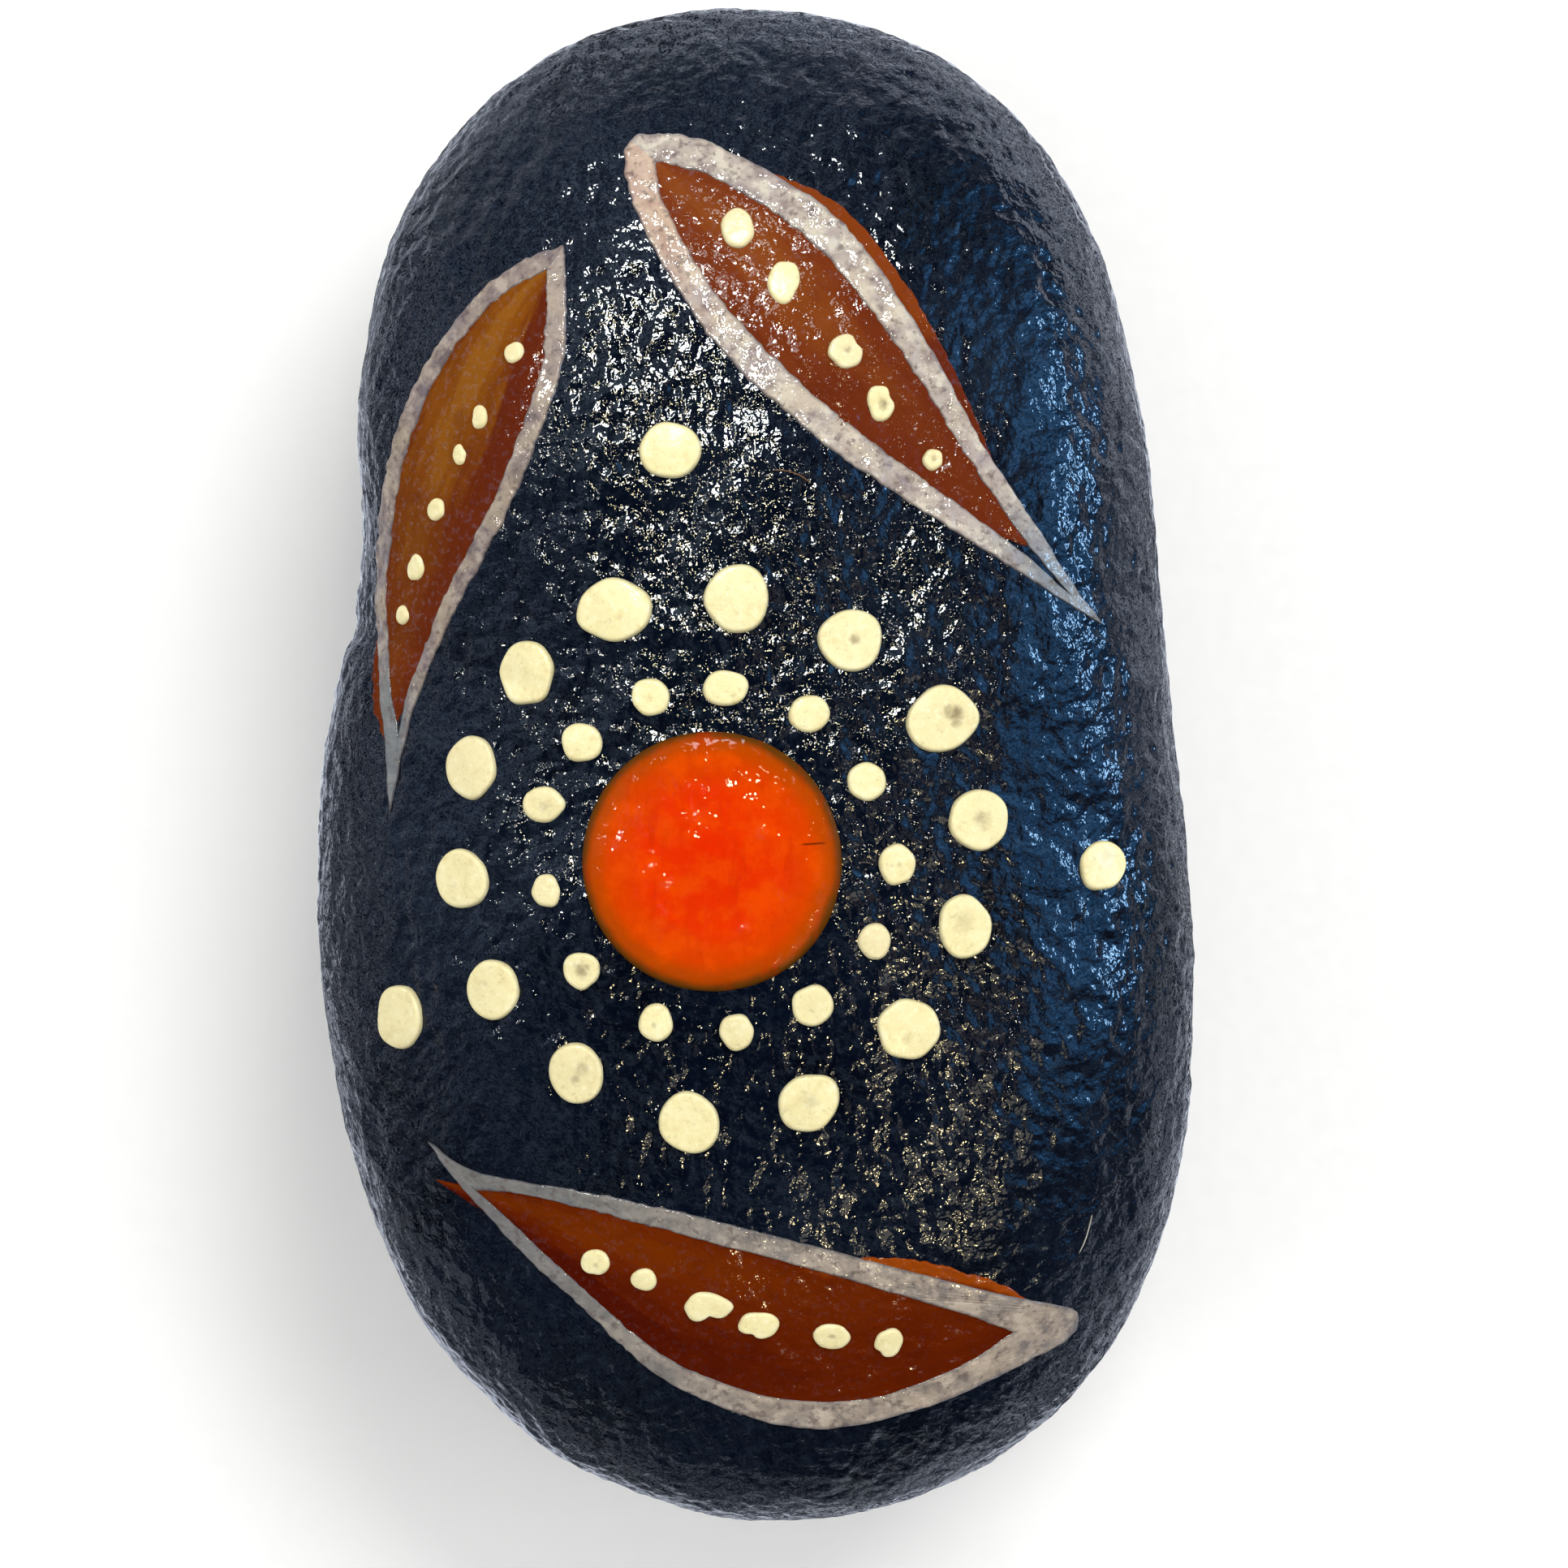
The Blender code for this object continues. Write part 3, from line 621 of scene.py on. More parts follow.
# ---------------------------------------------------------------- paint drops
def drop(name, node, slot, centre, width, length, rise, material, seed, segments=56,
         rings=14, edge_soft=0.26, sink=0.14, wobble=0.05, margin=0.0, stains=(), dents=(),
         extra=None, flat_edge=False):
    """A drop of paint: a slightly uneven oval with a rolled edge, laid on the
    stone's slow undulations and sunk a little into its pits. Each dent in its
    outline is (direction in degrees, depth as a share of the radius, spread)."""
    rng = np.random.default_rng(seed)
    width, length = width + margin, length + margin
    turn = np.arange(segments) / segments * math.tau
    shape = np.ones(segments)
    for k in range(2, 7):
        shape += wobble * rng.normal() / (k - 0.6) * np.cos(k * turn + rng.uniform(0, math.tau))
    for towards, depth, spread in dents:
        off = (np.degrees(turn) - towards + 180) % 360 - 180
        shape -= depth * np.exp(-((off / spread) ** 2))
    # Rings crowd towards the edge, where the drop rolls over.
    s = np.linspace(0, 1, rings + 1)[1:]
    s = 1 - (1 - s) ** 1.6
    r, a = np.meshgrid(s, turn, indexing="ij")
    scale = np.broadcast_to(shape, r.shape)
    lx = (r * scale * np.cos(a) * width / 2).ravel()
    ly = (r * scale * np.sin(a) * length / 2).ravel()
    r = r.ravel()
    base, n = over(centre[0] + lx, centre[1] + ly)
    small = min(width, length) / 2
    inward = (1 - r) * small                       # mm in from the edge
    roll = np.clip(inward / edge_soft, 0, 1)
    profile = np.sqrt(1 - (1 - roll) ** 2)
    if flat_edge:
        # Stands up at its very rim, then climbs gently.
        lip = np.clip(inward / 0.22, 0, 1)
        profile = 0.5 * np.sqrt(1 - (1 - lip) ** 2) + 0.5 * roll * (2 - roll)
    crown = 1 - 0.10 * r ** 2
    lift = -sink + (rise + sink) * profile * crown
    lift += 0.012 * noise(base / 0.55 + seed) * profile
    stain = np.zeros_like(r)
    for sx, sy, size, strength in stains:
        d = np.hypot(lx / (width / 2) - sx, ly / (length / 2) - sy) / size
        d *= 1 + 0.35 * noise(base / 0.28 + seed + 9)
        stain = np.maximum(stain, strength * np.exp(-(d ** 4)))
        lift -= 0.05 * strength * np.exp(-(d ** 2))
    if extra is not None:
        lift += extra(lx, ly, r, base) * profile
    top = base + n * (slow_relief(base) + lift)[:, None]
    mid_base, mid_n = over(*np.array(centre).reshape(2, 1))
    mid_lift = float(slow_relief(mid_base)[0]) + rise
    centre_stain = 0.0
    for sx, sy, size, strength in stains:
        centre_stain = max(centre_stain, strength * math.exp(-(math.hypot(sx, sy) / size) ** 4))
        mid_lift -= 0.05 * strength * math.exp(-(math.hypot(sx, sy) / size) ** 2)
    tip = mid_base[0] + mid_n[0] * mid_lift
    foot = mid_base[0] + mid_n[0] * (float(slow_relief(mid_base)[0]) - sink)
    verts = np.concatenate([top, [tip], [foot]])
    first = np.arange(segments)
    last = (rings - 1) * segments + np.arange(segments)
    faces = np.concatenate([ring_faces(rings, segments), fan(rings * segments, first),
                            fan(rings * segments + 1, last, flip=True)])
    count = len(verts)
    out = np.concatenate([r, [0, 1]])
    tone = np.full(count, float(np.clip(rng.normal(0.18, 0.16), 0, 0.6)))
    return make(name, verts, faces, material, node, slot,
                out=out, edge=out, tone=tone, stain=np.concatenate([stain, [centre_stain, 0]]))


OUTER_RING = ((-2.3, -5.8), 16.3, 5.6)
INNER_RING = ((-2.3, -6.0), 10.9, 7.2)
OUTER_DROPS = ((-0.2, -0.2, 4.0, 4.4), (-0.4, 0.2, 4.1, 3.9),
               (0.2, 0.5, 4.6, 4.1), (0.3, -0.2, 3.9, 3.8),
               (-0.2, -0.8, 3.5, 3.9), (-0.2, -0.7, 3.9, 3.9),
               (0.1, -0.2, 3.9, 3.7), (0.4, 0.0, 3.9, 3.9),
               (-0.2, 0.4, 3.6, 3.8), (0.0, 0.6, 3.4, 3.9),
               (-0.3, 0.6, 3.6, 3.6), (0.1, 0.4, 3.3, 4.0),
               (0.2, 0.0, 3.6, 4.0), (0.3, -0.6, 4.8, 3.9))
INNER_DROPS = ((-0.2, -0.7, 2.9, 2.3), (-0.1, -0.4, 2.6, 2.4),
               (-0.3, 0.0, 2.4, 2.5), (0.4, 0.2, 2.3, 2.6),
               (0.2, -0.2, 2.0, 2.4), (0.0, 0.1, 2.6, 2.7),
               (-0.1, -0.1, 2.3, 2.3), (-0.1, -0.2, 2.2, 2.4),
               (-0.1, 0.3, 2.4, 2.4), (-0.2, 0.6, 1.9, 2.1),
               (0.4, 0.7, 2.8, 2.2), (0.2, -0.1, 2.6, 2.5),
               (0.0, -0.2, 2.4, 2.4))
LONE_DOTS = (("top", (-5.1, 19.5), 3.8, 3.7),
             ("left", (-22.5, -16.1), 3.0, 4.2),
             ("right", (22.1, -6.4), 3.0, 3.3))
# Pinholes and specks: across, up, size, depth of colour, in half-widths.
STAINS = {
    "outer_dot_02": ((0.12, 0.02, 0.16, 0.75),),
    "outer_dot_03": ((0.28, 0.20, 0.24, 0.9), (0.36, -0.12, 0.14, 0.6)),
    "outer_dot_04": ((0.05, 0.05, 0.26, 0.6), (0.1, -0.25, 0.10, 0.5)),
    "outer_dot_05": ((-0.05, 0.15, 0.30, 0.35),),
    "outer_dot_06": ((-0.1, -0.3, 0.14, 0.35),),
    "outer_dot_07": ((0.0, 0.1, 0.30, 0.30),),
    "outer_dot_09": ((0.25, 0.2, 0.22, 0.45), (0.0, -0.15, 0.16, 0.5)),
    "outer_dot_10": ((-0.2, 0.2, 0.10, 0.3),),
    "inner_dot_01": ((0.35, -0.4, 0.12, 0.4),),
    "inner_dot_04": ((0.1, 0.0, 0.12, 0.4),),
    "inner_dot_08": ((-0.1, -0.1, 0.14, 0.4),),
    "inner_dot_09": ((0.05, 0.05, 0.36, 0.75), (0.3, 0.2, 0.2, 0.6)),
    "inner_dot_11": ((0.1, -0.1, 0.3, 0.4),),
    "lone_dot_right": ((0.1, 0.2, 0.35, 0.25),),
    "leaf_upper_dot_3": ((0.1, 0.1, 0.22, 0.6),),
    "leaf_upper_dot_4": ((0.15, -0.05, 0.30, 0.85),),
    "leaf_upper_dot_5": ((0.1, 0.1, 0.34, 0.8),),
    "leaf_lower_dot_1": ((0.1, -0.1, 0.18, 0.4),),
    "leaf_lower_dot_5": ((0.0, 0.1, 0.18, 0.6),),
}


# Notches and waists in the outlines of drops that spread unevenly.
DENTS = {
    "leaf_upper_dot_1": ((5, 0.14, 24),),
    "leaf_upper_dot_2": ((-30, 0.18, 26),),
    "leaf_upper_dot_3": ((35, 0.18, 24), (-140, 0.16, 34)),
    "leaf_upper_dot_4": ((20, 0.20, 26), (190, 0.16, 30)),
    "leaf_left_dot_1": ((120, 0.16, 30), (-60, 0.14, 30)),
    "leaf_lower_dot_1": ((-95, 0.14, 22),),
    "leaf_lower_dot_3": ((-80, 0.34, 22),),
    "leaf_lower_dot_4": ((-118, 0.32, 24),),
    "leaf_lower_dot_6": ((-135, 0.20, 18),),
    "inner_dot_09": ((-60, 0.12, 22),),
    "inner_dot_07": ((35, 0.10, 22),),
    "outer_dot_04": ((-10, 0.06, 26),),
}


def ring_place(ring, count, index, outwards, along):
    (cx, cy), radius, first = ring
    turn = math.radians(first) + math.tau * index / count + along / radius
    return cx + (radius + outwards) * math.sin(turn), cy + (radius + outwards) * math.cos(turn)


# --------------------------------------------------------------------- leaves
LEAVES = {
    "upper": {
        "rim": (((-7.75, 39.45), (22.0, 8.7)),
                ((-6.8, 39.95), (-2.6, 39.3), (5.4, 34.3), (10.5, 27.1), (14.6, 19.8), (19.3, 12.5)),
                ((-8.15, 38.3), (-7.2, 34.4), (-2.8, 26.8), (3.6, 20.6), (10.7, 15.7), (18.0, 11.1))),
        "window": (((-6.0, 38.0), (20.0, 10.5)),
                   ((-5.3, 37.85), (-2.2, 36.7), (3.9, 32.4), (9.0, 26.0), (13.2, 19.5),
                    (16.9, 14.0)),
                   ((-6.0, 37.2), (-5.2, 34.6), (-1.4, 28.4), (4.9, 22.2), (10.9, 17.7), (16.2, 13.7))),
        "fill": (((-6.7, 38.4), (17.3, 13.5)),
                 ((-2.3, 38.3), (5.8, 34.9), (11.15, 27.5), (14.35, 20.8), (16.3, 16.0)),
                 ((-5.9, 34.2), (-2.2, 27.6), (4.2, 21.5), (10.8, 16.8), (15.2, 14.2))),
        "dots": (((-0.9, 33.6), 2.15, 2.7), ((2.0, 30.1), 2.1, 2.9),
                 ((5.8, 25.7), 2.35, 2.2), ((8.0, 22.5), 1.85, 2.3),
                 ((11.3, 19.0), 1.3, 1.4)),
    },
    "left": {
        "rim": (((-11.9, 32.8), (-23.1, -3.2)),
                ((-15.8, 31.0), (-20.7, 25.7), (-23.5, 18.9), (-24.4, 11.9), (-23.9, 4.7)),
                ((-11.6, 28.4), (-12.1, 24.0), (-14.8, 16.9), (-18.2, 10.6), (-21.5, 3.9))),
        "window": (((-13.0, 31.0), (-22.7, 2.0)),
                   ((-15.9, 29.3), (-19.7, 25.1), (-22.4, 18.6), (-23.4, 11.8), (-23.2, 6.4)),
                   ((-13.0, 28.0), (-13.4, 24.3), (-15.9, 17.5), (-19.2, 11.1), (-21.7, 5.4))),
        "fill": (((-12.2, 31.9), (-23.7, 1.5)),
                 ((-16.1, 30.0), (-20.3, 25.6), (-23.4, 19.4), (-24.1, 12.0), (-24.5, 4.6)),
                 ((-12.5, 28.2), (-12.8, 24.1), (-15.3, 17.2), (-18.7, 10.8), (-21.7, 4.6))),
        "dots": (((-14.9, 25.8), 1.3, 1.5), ((-17.1, 21.8), 1.1, 1.5),
                 ((-18.5, 19.5), 1.0, 1.3), ((-20.0, 16.1), 1.1, 1.5),
                 ((-21.4, 12.5), 1.1, 1.8), ((-22.3, 9.5), 0.9, 1.3)),
    },
    "lower": {
        "rim": (((-20.7, -23.9), (20.9, -35.5)),
                ((-17.2, -25.8), (-10.6, -26.8), (-2.7, -28.5), (5.1, -30.5),
                 (12.9, -32.6), (18.7, -34.1), (20.7, -34.8)),
                ((-16.2, -29.3), (-10.7, -34.5), (-4.9, -39.4), (3.0, -42.2),
                 (11.3, -40.8), (17.6, -37.9), (20.5, -36.5))),
        "window": (((-17.4, -27.0), (16.4, -35.9)),
                   ((-13.8, -27.2), (-8.6, -28.5), (-3.1, -29.9), (3.0, -31.5),
                    (8.3, -33.1), (12.9, -34.6)),
                   ((-13.2, -30.8), (-8.3, -35.2), (-4.0, -38.2), (2.0, -40.2),
                    (8.0, -40.0), (13.0, -38.1))),
        "fill": (((-20.3, -26.3), (18.6, -34.7)),
                 ((-15.4, -26.8), (-9.8, -27.7), (-2.9, -29.2), (4.2, -30.9),
                  (9.8, -31.0), (15.4, -32.6)),
                 ((-15.0, -29.9), (-9.5, -34.8), (-4.4, -38.8), (2.5, -41.1),
                  (9.6, -40.2), (14.6, -38.0))),
        "dots": (((-9.9, -31.4), 1.9, 1.8), ((-6.8, -32.4), 1.7, 1.5),
                 ((-2.8, -34.1), 3.1, 1.95), ((0.4, -35.3), 2.6, 1.9),
                 ((5.0, -36.1), 2.5, 1.7), ((8.6, -36.5), 1.9, 1.9)),
    },
}


def curve_through(points, t):
    """Points at t in 0..1 on a smooth curve through the given ones."""
    p = np.asarray(points, float)
    spans = len(p) - 1
    p = np.concatenate([[2 * p[0] - p[1]], p, [2 * p[-1] - p[-2]]])
    s = np.clip(t, 0, 1) * spans
    i = np.minimum(s.astype(int), spans - 1)
    f = (s - i)[:, None]
    a, b, c, d = p[i], p[i + 1], p[i + 2], p[i + 3]
    return b + 0.5 * f * (c - a + f * (2 * a - 5 * b + 4 * c - d + f * (3 * (b - c) + d - a)))


def leaf_side(shape, which, t):
    (first, last), *sides = shape
    return curve_through((first, *sides[which], last), t)


def strip(name, node, slot, inner, outer, closed, material, lift, grain, seed,
          across_steps, shaggy, sunk=0.05):
    """A film between two lines of plan points, its edges tucked under. inner and
    outer hold the same number of points. grain is how much of the stone's fine
    relief still shows."""
    rows = len(inner)
    s = np.linspace(0, 1, across_steps + 1)
    s = 0.5 - 0.5 * np.cos(math.pi * s)
    s = 0.6 * s + 0.4 * np.linspace(0, 1, across_steps + 1)
    step = np.concatenate([[0], np.cumsum(np.linalg.norm(np.diff((inner + outer) / 2, axis=0), axis=1))])
    along = step / step[-1]
    mid = np.concatenate([(inner + outer) / 2, np.full((rows, 1), seed * 3.3)], 1)
    inner3 = np.concatenate([inner, np.full((rows, 1), seed * 3.3)], 1)
    outer3 = np.concatenate([outer, np.full((rows, 1), seed * 3.3 + 50)], 1)
    width = np.linalg.norm(outer - inner, axis=1)
    give = np.minimum(1, width / 0.8)
    rag_in = shaggy * give * (0.55 * noise(inner3 / 0.9) + 0.45 * noise(inner3 / 0.38))
    rag_out = shaggy * give * (0.55 * noise(outer3 / 0.9) + 0.45 * noise(outer3 / 0.38))
    direction = (outer - inner) / (width[:, None] + 1e-9)
    inner = inner - direction * rag_in[:, None]
    outer = outer + direction * rag_out[:, None]
    plan = inner[:, None] + (outer - inner)[:, None] * s[None, :, None]
    x, y = plan[..., 0].ravel(), plan[..., 1].ravel()
    base, n = over(x, y)
    width = np.linalg.norm(outer - inner, axis=1)
    from_edge = np.minimum(s, 1 - s)[None] * width[:, None]
    film = np.clip(from_edge / 0.16, 0, 1)
    film = np.sqrt(1 - (1 - film) ** 2)
    if not closed:
        ends = np.minimum(step, step[-1] - step)
        film = film * np.clip(ends / 0.3, 0, 1)[:, None]
    film = film.ravel()
    surface = slow_relief(base)
    rough = fine_relief(base)
    top = base + n * (surface + rough * (1 - film) + (rough * grain + (1 - grain) * 0.02) * film
                      - sunk + (lift + sunk) * film)[:, None]
    foot = base + n * (surface + rough - sunk - 0.06 * film)[:, None]
    columns = across_steps + 1
    count = rows * columns
    r, c = np.meshgrid(np.arange(rows if closed else rows - 1), np.arange(across_steps), indexing="ij")
    r, c = r.ravel(), c.ravel()
    q = (r + 1) % rows
    quad = np.stack([r * columns + c, q * columns + c, q * columns + c + 1, r * columns + c + 1], 1)
    # The underside shares the edge points with the top.
    under = np.arange(count) + count
    grid = np.arange(count).reshape(rows, columns)
    shared = np.zeros((rows, columns), bool)
    shared[:, 0] = shared[:, -1] = True
    if not closed:
        shared[0] = shared[-1] = True
    under[shared.ravel()] = grid.ravel()[shared.ravel()]
    faces = np.concatenate([quad, under[quad][:, ::-1]])
    verts = np.concatenate([top, foot])
    used = np.zeros(len(verts), bool)
    used[faces.ravel()] = True
    new = np.cumsum(used) - 1
    faces = new[faces]
    edge = np.abs(np.broadcast_to(s * 2 - 1, (rows, columns))).ravel()
    across = np.broadcast_to(s, (rows, columns)).ravel()
    along = np.broadcast_to(along[:, None], (rows, columns)).ravel()
    pack = lambda v: np.concatenate([v, v])[used]
    # Turn the faces outwards if the sheet came out upside down.
    p = verts[used][faces[0]]
    if np.cross(p[1] - p[0], p[2] - p[0])[2] < 0:
        faces = faces[:, ::-1]
    return make(name, verts[used], faces, material, node, slot,
                edge=pack(edge), across=pack(across), along=pack(along))


def build_leaves(fill_materials, outline_materials, cream):
    for k, (label, leaf) in enumerate(LEAVES.items()):
        span = math.dist(*leaf["fill"][0])
        steps = int(span / (0.22))
        t = np.linspace(0, 1, steps)
        side_a, side_b = leaf_side(leaf["fill"], 0, t), leaf_side(leaf["fill"], 1, t)
        wide = float(np.linalg.norm(side_a - side_b, axis=1).max())
        # A film drawn to a point keeps a hair of width at its tips.
        mid = (side_a + side_b) / 2
        narrow = np.linalg.norm(side_a - side_b, axis=1) < 0.06
        shift = np.array((0.02, 0.02))
        side_a = np.where(narrow[:, None], mid + shift, side_a)
        side_b = np.where(narrow[:, None], mid - shift, side_b)
        strip(f"leaf_{label}_wash", f"leaf_{label}_fill", "leaf_brown", side_b, side_a, False,
              fill_materials[label], 0.055, 0.65, 3 + k, int(wide / (0.2)),
              0.20, sunk=0.06)
        steps = int(span / (0.22))
        t = np.linspace(0, 1, steps, endpoint=False)
        rim = np.concatenate([leaf_side(leaf["rim"], 0, t), leaf_side(leaf["rim"], 1, 1 - t)])
        window = np.concatenate([leaf_side(leaf["window"], 0, t),
                                 leaf_side(leaf["window"], 1, 1 - t)])
        strip(f"leaf_{label}_line", f"leaf_{label}_outline", "outline_grey", window, rim, True,
              outline_materials[label], 0.125, 0.95, 13 + k, 14, 0.20, sunk=0.06)
        for i, (place, width, length) in enumerate(leaf["dots"]):
            node = f"leaf_{label}_dot_{i + 1}"
            drop(f"leaf_{label}_drop_{i + 1}", node, "dot_cream", place, width, length,
                 0.30, cream, 100 * (k + 1) + i, 40, 10, edge_soft=0.22, sink=0.10,
                 wobble=0.06, stains=STAINS.get(node, ()), dents=DENTS.get(node, ()))


cream = cream_material()
build_core(bare_material())
build_coat(coat_material())


def sun_lumps(lx, ly, r, base):
    """Slow waves and a few raised specks in the pool of paint."""
    wave = 0.05 * noise(base / 2.6 + 71.0) + 0.018 * noise(base / 1.1 + 77.0)
    specks = 0.09 * pits(base + 3.0, 1.0, 0.07)
    ripple = 0.075 * noise(base / 0.62 + 90.0) + 0.06 * noise(base / 1.1 + 95.0)
    where = (np.exp(-((lx + 0.8) / 1.4) ** 2 - ((ly - 4.6) / 2.6) ** 2)
             + 0.8 * np.exp(-((lx + 3.3) / 1.0) ** 2 - ((ly + 6.0) / 0.9) ** 2)
             + 0.6 * np.exp(-((lx - 5.4) / 0.6) ** 2 - ((ly - 4.6) / 0.6) ** 2))
    return wave + specks + ripple * where


drop("sun_pool", "sun_disc", "sun_orange", (-2.5, -6.1), 15.8, 15.8, 0.46, sun_material(), 5,
     segments=200, rings=60, edge_soft=1.5, sink=0.12, wobble=0.006, margin=0.42,
     extra=sun_lumps, flat_edge=True)

for label, ring, drops in (("outer", OUTER_RING, OUTER_DROPS), ("inner", INNER_RING, INNER_DROPS)):
    for i, (outwards, along, width, length) in enumerate(drops):
        node = f"{label}_dot_{i + 1:02d}"
        drop(f"{label}_drop_{i + 1:02d}", node, "dot_cream",
             ring_place(ring, len(drops), i, outwards, along), width, length,
             0.38 if label == "outer" else 0.32, cream, i + (20 if label == "outer" else 50),
             stains=STAINS.get(node, ()), dents=DENTS.get(node, ()))
for i, (label, place, width, length) in enumerate(LONE_DOTS):
    node = f"lone_dot_{label}"
    drop(f"lone_drop_{label}", node, "dot_cream", place, width, length, 0.36, cream, 80 + i,
         stains=STAINS.get(node, ()), dents=DENTS.get(node, ()))

build_leaves(
    {"upper": leaf_material("wash_upper", (0.170, 0.033, 0.0075), (0.215, 0.052, 0.009),
                            (0.118, 0.020, 0.006), 0.46, (0.120, 0.018, 0.005),
                            ((0.215, 0.042, 0.006), 0.10, 0.55), gloss=(0.56, 0.62)),
     "left": leaf_material("wash_left", (0.205, 0.058, 0.0035), (0.255, 0.088, 0.008),
                           (0.115, 0.017, 0.004), 0.60, (0.130, 0.022, 0.004), spread=0.72),
     "lower": leaf_material("wash_lower", (0.118, 0.0130, 0.0005), (0.150, 0.023, 0.0006),
                            (0.070, 0.0050, 0.0006), 0.74, (0.118, 0.0135, 0.0005),
                            ((0.30, 0.055, 0.003), 0.66, 0.95))},
    {"upper": outline_material("line_upper", (0.62, 0.56, 0.46), (0.44, 0.375, 0.325),
                               (0.27, 0.21, 0.19), (0.60, 0.51, 0.38), (0.37, 0.31, 0.30),
                               (0.60, 0.34, 0.20), (0.16, 0.19, 0.21), 1, head_share=0.42),
     "left": outline_material("line_left", (0.42, 0.35, 0.29), (0.28, 0.22, 0.19),
                              (0.15, 0.11, 0.11), (0.42, 0.34, 0.23), (0.20, 0.17, 0.18),
                              (0.42, 0.34, 0.28), (0.15, 0.175, 0.185), 1),
     "lower": outline_material("line_lower", (0.51, 0.43, 0.345), (0.36, 0.295, 0.24),
                               (0.20, 0.17, 0.15), (0.46, 0.37, 0.28), (0.27, 0.24, 0.215),
                               (0.20, 0.19, 0.19), (0.125, 0.140, 0.145), 0, tail_from=0.25)},
    cream)


# ---------------------------------------------------------- floor and lighting
def floor():
    mesh = bpy.data.meshes.new("floor")
    size = 4.0
    mesh.from_pydata([(-size, -size, 0), (size, -size, 0), (size, size, 0), (-size, size, 0)],
                     [], [(0, 1, 2, 3)])
    material, nodes, links, shader = new_material("paper_white")
    co = object_coords(nodes)
    fibre = noise_node(nodes, links, co, 900, 3, 0.6)
    links.new(ramp(nodes, links, fibre, (0.3, 0.86), (0.7, 0.90)), shader.inputs["Base Color"])
    shader.inputs["Roughness"].default_value = 0.9
    shader.inputs["Specular IOR Level"].default_value = 0.1
    shader.inputs["Emission Color"].default_value = (1.0, 1.0, 1.0, 1.0)
    # The sweep of paper glows further out, so that it stays pale up to its edge.
    reach = nodes.new("ShaderNodeVectorMath")
    reach.operation = "LENGTH"
    links.new(co, reach.inputs[0])
    links.new(ramp(nodes, links, maths(nodes, links, "MULTIPLY", reach.outputs["Value"], 0.5),
                   (0.16, 0.15), (0.75, 0.85)), shader.inputs["Emission Strength"])
    mesh.materials.append(material)
    ob = bpy.data.objects.new("floor", mesh)
    ob.location = (0, 0, -0.00002)
    ob.visible_glossy = False
    bpy.context.scene.collection.objects.link(ob)


def backdrop():
    """A pale surround for low views, seen by the camera alone."""
    around, rows, radius = 64, 12, 3.9
    turn = np.arange(around) / around * math.tau
    tilt = np.linspace(-0.02, math.pi / 2 - 0.05, rows)
    points = [(radius * math.cos(e) * math.cos(a), radius * math.cos(e) * math.sin(a),
               radius * math.sin(e)) for e in tilt for a in turn] + [(0, 0, radius)]
    faces = [tuple(int(i) for i in f) for f in ring_faces(rows, around)]
    faces += [((rows - 1) * around + i, (rows - 1) * around + (i + 1) % around, rows * around)
              for i in range(around)]
    mesh = bpy.data.meshes.new("backdrop")
    mesh.from_pydata(points, [], faces)
    mesh.shade_smooth()
    material, nodes, links, shader = new_material("paper_surround")
    shader.inputs["Base Color"].default_value = (0.0, 0.0, 0.0, 1.0)
    shader.inputs["Specular IOR Level"].default_value = 0.0
    shader.inputs["Emission Color"].default_value = (0.93, 0.94, 0.95, 1.0)
    shader.inputs["Emission Strength"].default_value = 1.0
    mesh.materials.append(material)
    ob = bpy.data.objects.new("backdrop", mesh)
    for ray in ("diffuse", "glossy", "transmission", "volume_scatter", "shadow"):
        setattr(ob, "visible_" + ray, False)
    bpy.context.scene.collection.objects.link(ob)


def area(name, off_vertical, azimuth, distance, width, height, radiance, colour=(1, 1, 1),
         glossy=True, diffuse=True):
    """A softbox seen from the stone at an angle off the vertical and an azimuth
    from +X, facing the stone. height runs up it and width round it."""
    light = bpy.data.lights.new(name, "AREA")
    light.shape = "RECTANGLE"
    light.size, light.size_y = height, width
    light.energy = radiance * math.pi * width * height
    light.color = colour
    ob = bpy.data.objects.new(name, light)
    t, a = math.radians(off_vertical), math.radians(azimuth)
    ob.location = (distance * math.sin(t) * math.cos(a), distance * math.sin(t) * math.sin(a),
                   0.03 + distance * math.cos(t))
    ob.rotation_euler = (0.0, t, a)
    ob.visible_camera = False
    ob.visible_glossy = glossy
    ob.visible_diffuse = diffuse
    bpy.context.scene.collection.objects.link(ob)
    return ob


floor()
backdrop()
# Reflected in the varnish.
area("ceiling_lamp", 31, 107, 1.1, 0.20, 0.22, 66, (0.95, 1.0, 0.98), diffuse=False)
area("warm_lamp", 24, 122, 1.1, 0.08, 0.08, 75, (1.0, 0.90, 0.62), diffuse=False)
area("near_lamp", 10, 120, 1.3, 0.065, 0.06, 135, (1.0, 0.92, 0.56), diffuse=False)
area("left_lamp", 33, 158, 1.2, 0.07, 0.07, 75, (1.0, 0.97, 0.86), diffuse=False)
area("side_lamp", 18, 45, 1.3, 0.06, 0.06, 60, (1.0, 0.95, 0.84), diffuse=False)
area("far_lamp", 27, -60, 1.2, 0.065, 0.065, 130, (1.0, 0.79, 0.38), diffuse=False)
area("far_wall", 32, -52, 1.2, 0.52, 0.36, 2.0, (1.0, 0.92, 0.72), diffuse=False)
area("wall_glow", 16, -14, 1.2, 0.34, 0.34, 0.5, (1.0, 0.84, 0.72), diffuse=False)
area("window_pane", 72, 14, 0.8, 0.30, 0.065, 30.0, (0.36, 0.64, 1.0), diffuse=False)
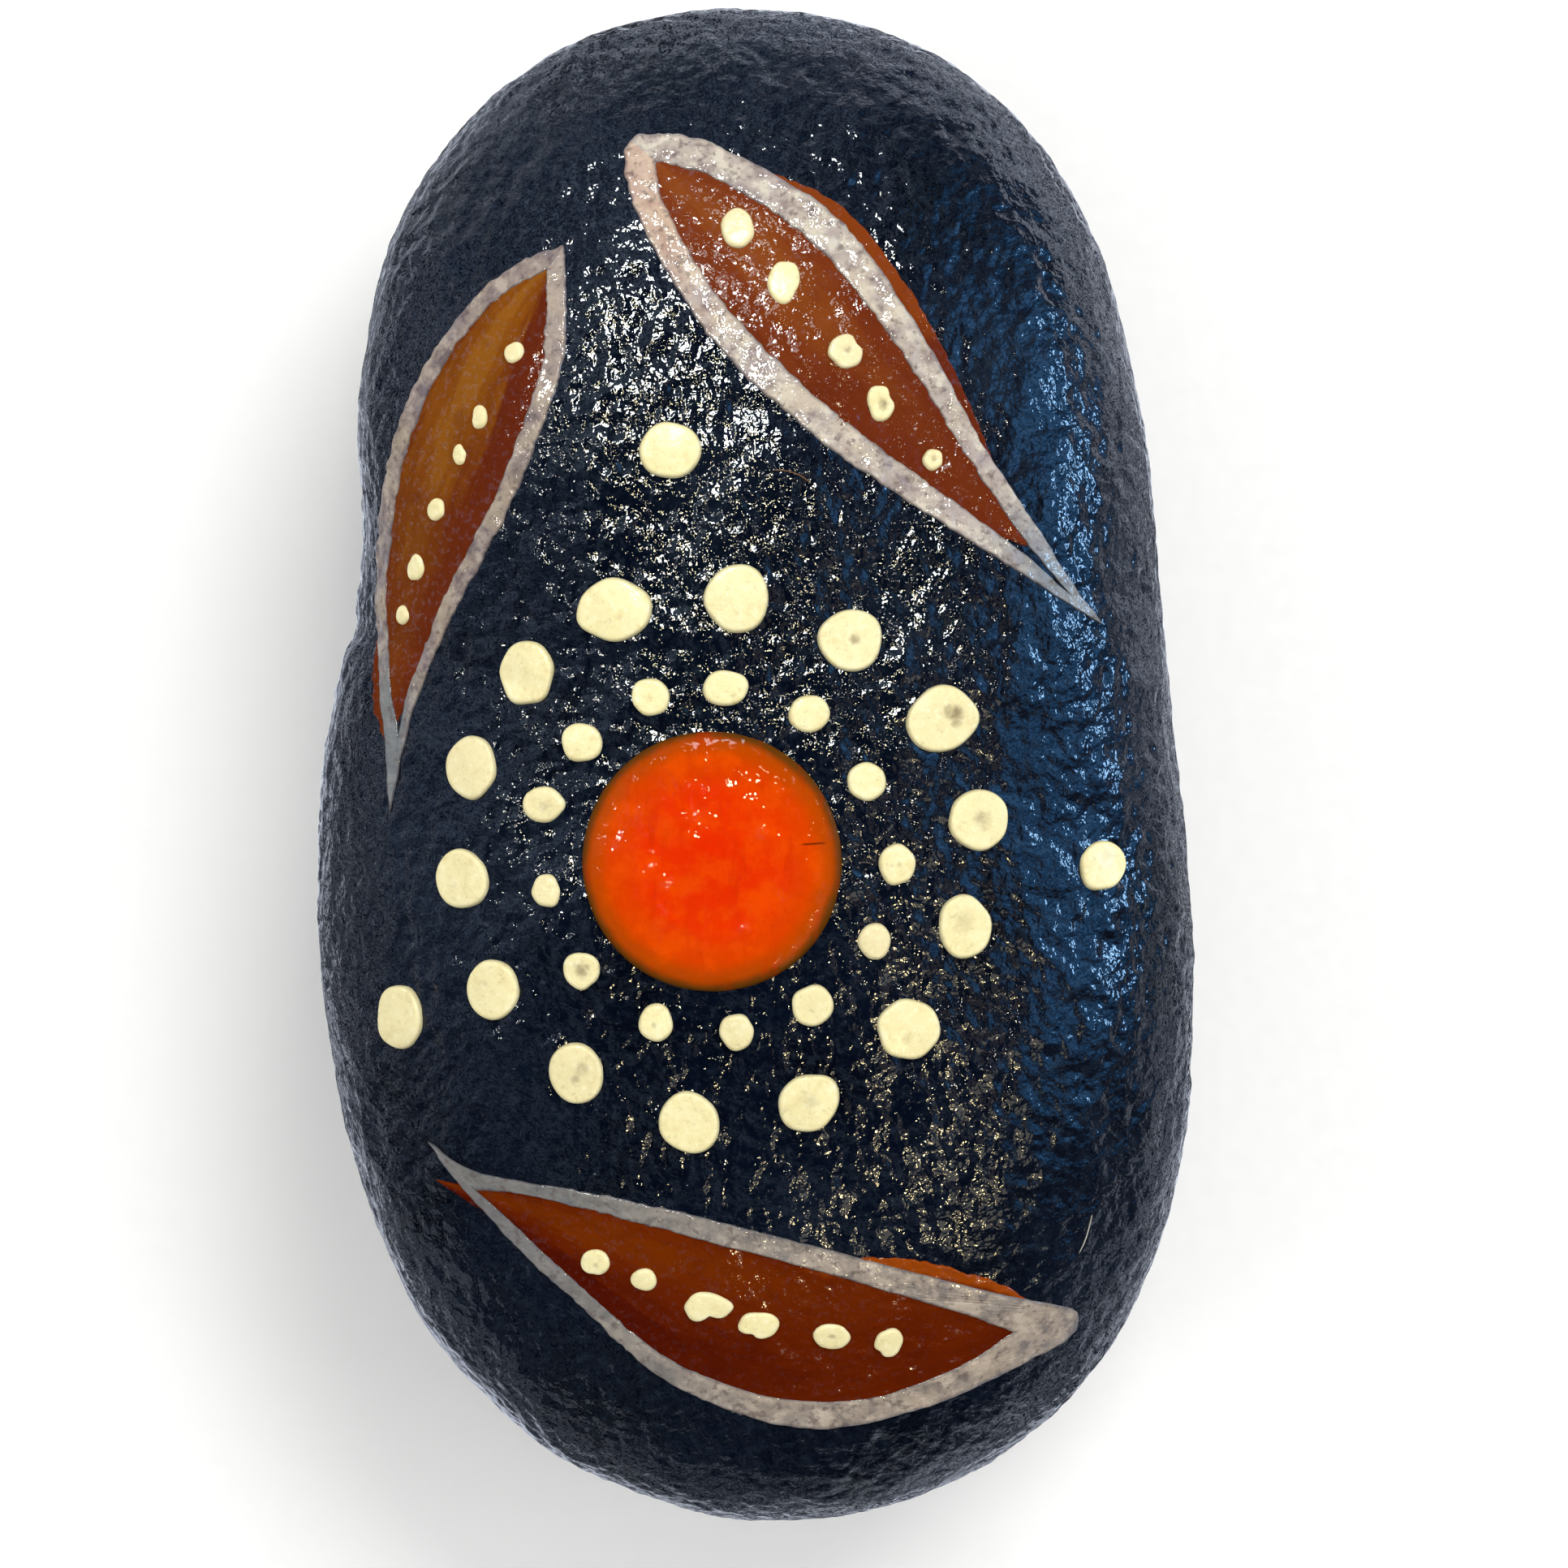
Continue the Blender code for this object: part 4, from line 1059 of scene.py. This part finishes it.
# Lighting the colours and the floor.
area("low_key", 62, -8, 1.0, 0.50, 0.40, 3.3, (1.0, 1.0, 1.0), glossy=False)
area("soft_key", 46, 60, 1.0, 0.62, 0.52, 7.6, (1.0, 0.99, 0.96), glossy=False)
area("left_fill", 62, 195, 1.0, 0.60, 0.50, 4.2, (1.0, 0.99, 0.97), glossy=False)
area("overhead_fill", 0, 0, 1.0, 6.0, 6.0, 0.50, (1.0, 1.0, 1.0), glossy=False)

world = bpy.data.worlds.new("studio")
bpy.context.scene.world = world
world.use_nodes = True
world.cycles_visibility.diffuse = False
world.cycles_visibility.camera = False
nodes, links = world.node_tree.nodes, world.node_tree.links
direction = nodes.new("ShaderNodeTexCoord").outputs["Generated"]
room = noise_node(nodes, links, direction, 7.0, 3, 0.6)
split = nodes.new("ShaderNodeSeparateXYZ")
links.new(direction, split.inputs[0])
# Darkest overhead, brightest half way up the wall behind, and paler underfoot.
level = maths(nodes, links, "MULTIPLY_ADD", split.outputs["Z"], 0.5, 0.5)
walls = ramp(nodes, links, level, (0.0, (0.36, 0.39, 0.46)), (0.47, (0.40, 0.45, 0.55)),
             (0.75, (0.30, 0.39, 0.56)), (0.90, (0.53, 0.66, 0.82)), (0.98, (0.06, 0.08, 0.11)),
             (1.0, (0.010, 0.014, 0.020)))


def facing(off_vertical, azimuth):
    """Cosine between a direction and this one."""
    t, a = math.radians(off_vertical), math.radians(azimuth)
    dot = nodes.new("ShaderNodeVectorMath")
    dot.operation = "DOT_PRODUCT"
    links.new(direction, dot.inputs[0])
    dot.inputs[1].default_value = (math.sin(t) * math.cos(a), math.sin(t) * math.sin(a), math.cos(t))
    return dot.outputs["Value"]


side = ramp(nodes, links, maths(nodes, links, "MULTIPLY_ADD", facing(90, 130), 0.5, 0.5),
            (0.05, 0.22), (0.40, 0.35), (0.62, 0.36), (0.85, 1.3))
low = ramp(nodes, links, maths(nodes, links, "MULTIPLY_ADD", facing(90, 60), 0.5, 0.5),
           (0.07, 0.78), (0.25, 1.22), (0.75, 1.34), (0.93, 2.4))
side = mix(nodes, links, ramp(nodes, links, level, (0.44, 0.0), (0.54, 1.0)), low, side)
patch = ramp(nodes, links, room, (0.39, 0.04), (0.61, 2.1))
sky = mix(nodes, links, 1.0, mix(nodes, links, 1.0, walls, side, "MULTIPLY"), patch, "MULTIPLY")
# Evening blue from the window side, fading out all round it.
blue = ramp(nodes, links, facing(60, 15), (0.825, (0.0, 0.0, 0.0)), (0.91, (0.09, 0.42, 1.00)),
            (0.98, (0.26, 1.05, 2.4)))
glow = mix(nodes, links, 1.0, blue, ramp(nodes, links, room, (0.36, 0.45), (0.62, 1.45)), "MULTIPLY")
sky = mix(nodes, links, 1.0, sky, glow, "ADD")
links.new(sky, nodes["Background"].inputs["Color"])
nodes["Background"].inputs["Strength"].default_value = 1.0

bpy.context.scene.view_settings.view_transform = "Standard"
bpy.context.scene.view_settings.look = "None"

# --------------------------------------------------------------------- camera
camera = bpy.data.objects.new("camera", bpy.data.cameras.new("camera"))
camera.data.lens, camera.data.sensor_width = 100.0, 36.0
camera.data.clip_start, camera.data.clip_end = 0.01, 10.0
camera.location = (1.99 * MM, -1.27 * MM, (WAIST + 288.8) * MM)
bpy.context.scene.collection.objects.link(camera)
bpy.context.scene.camera = camera
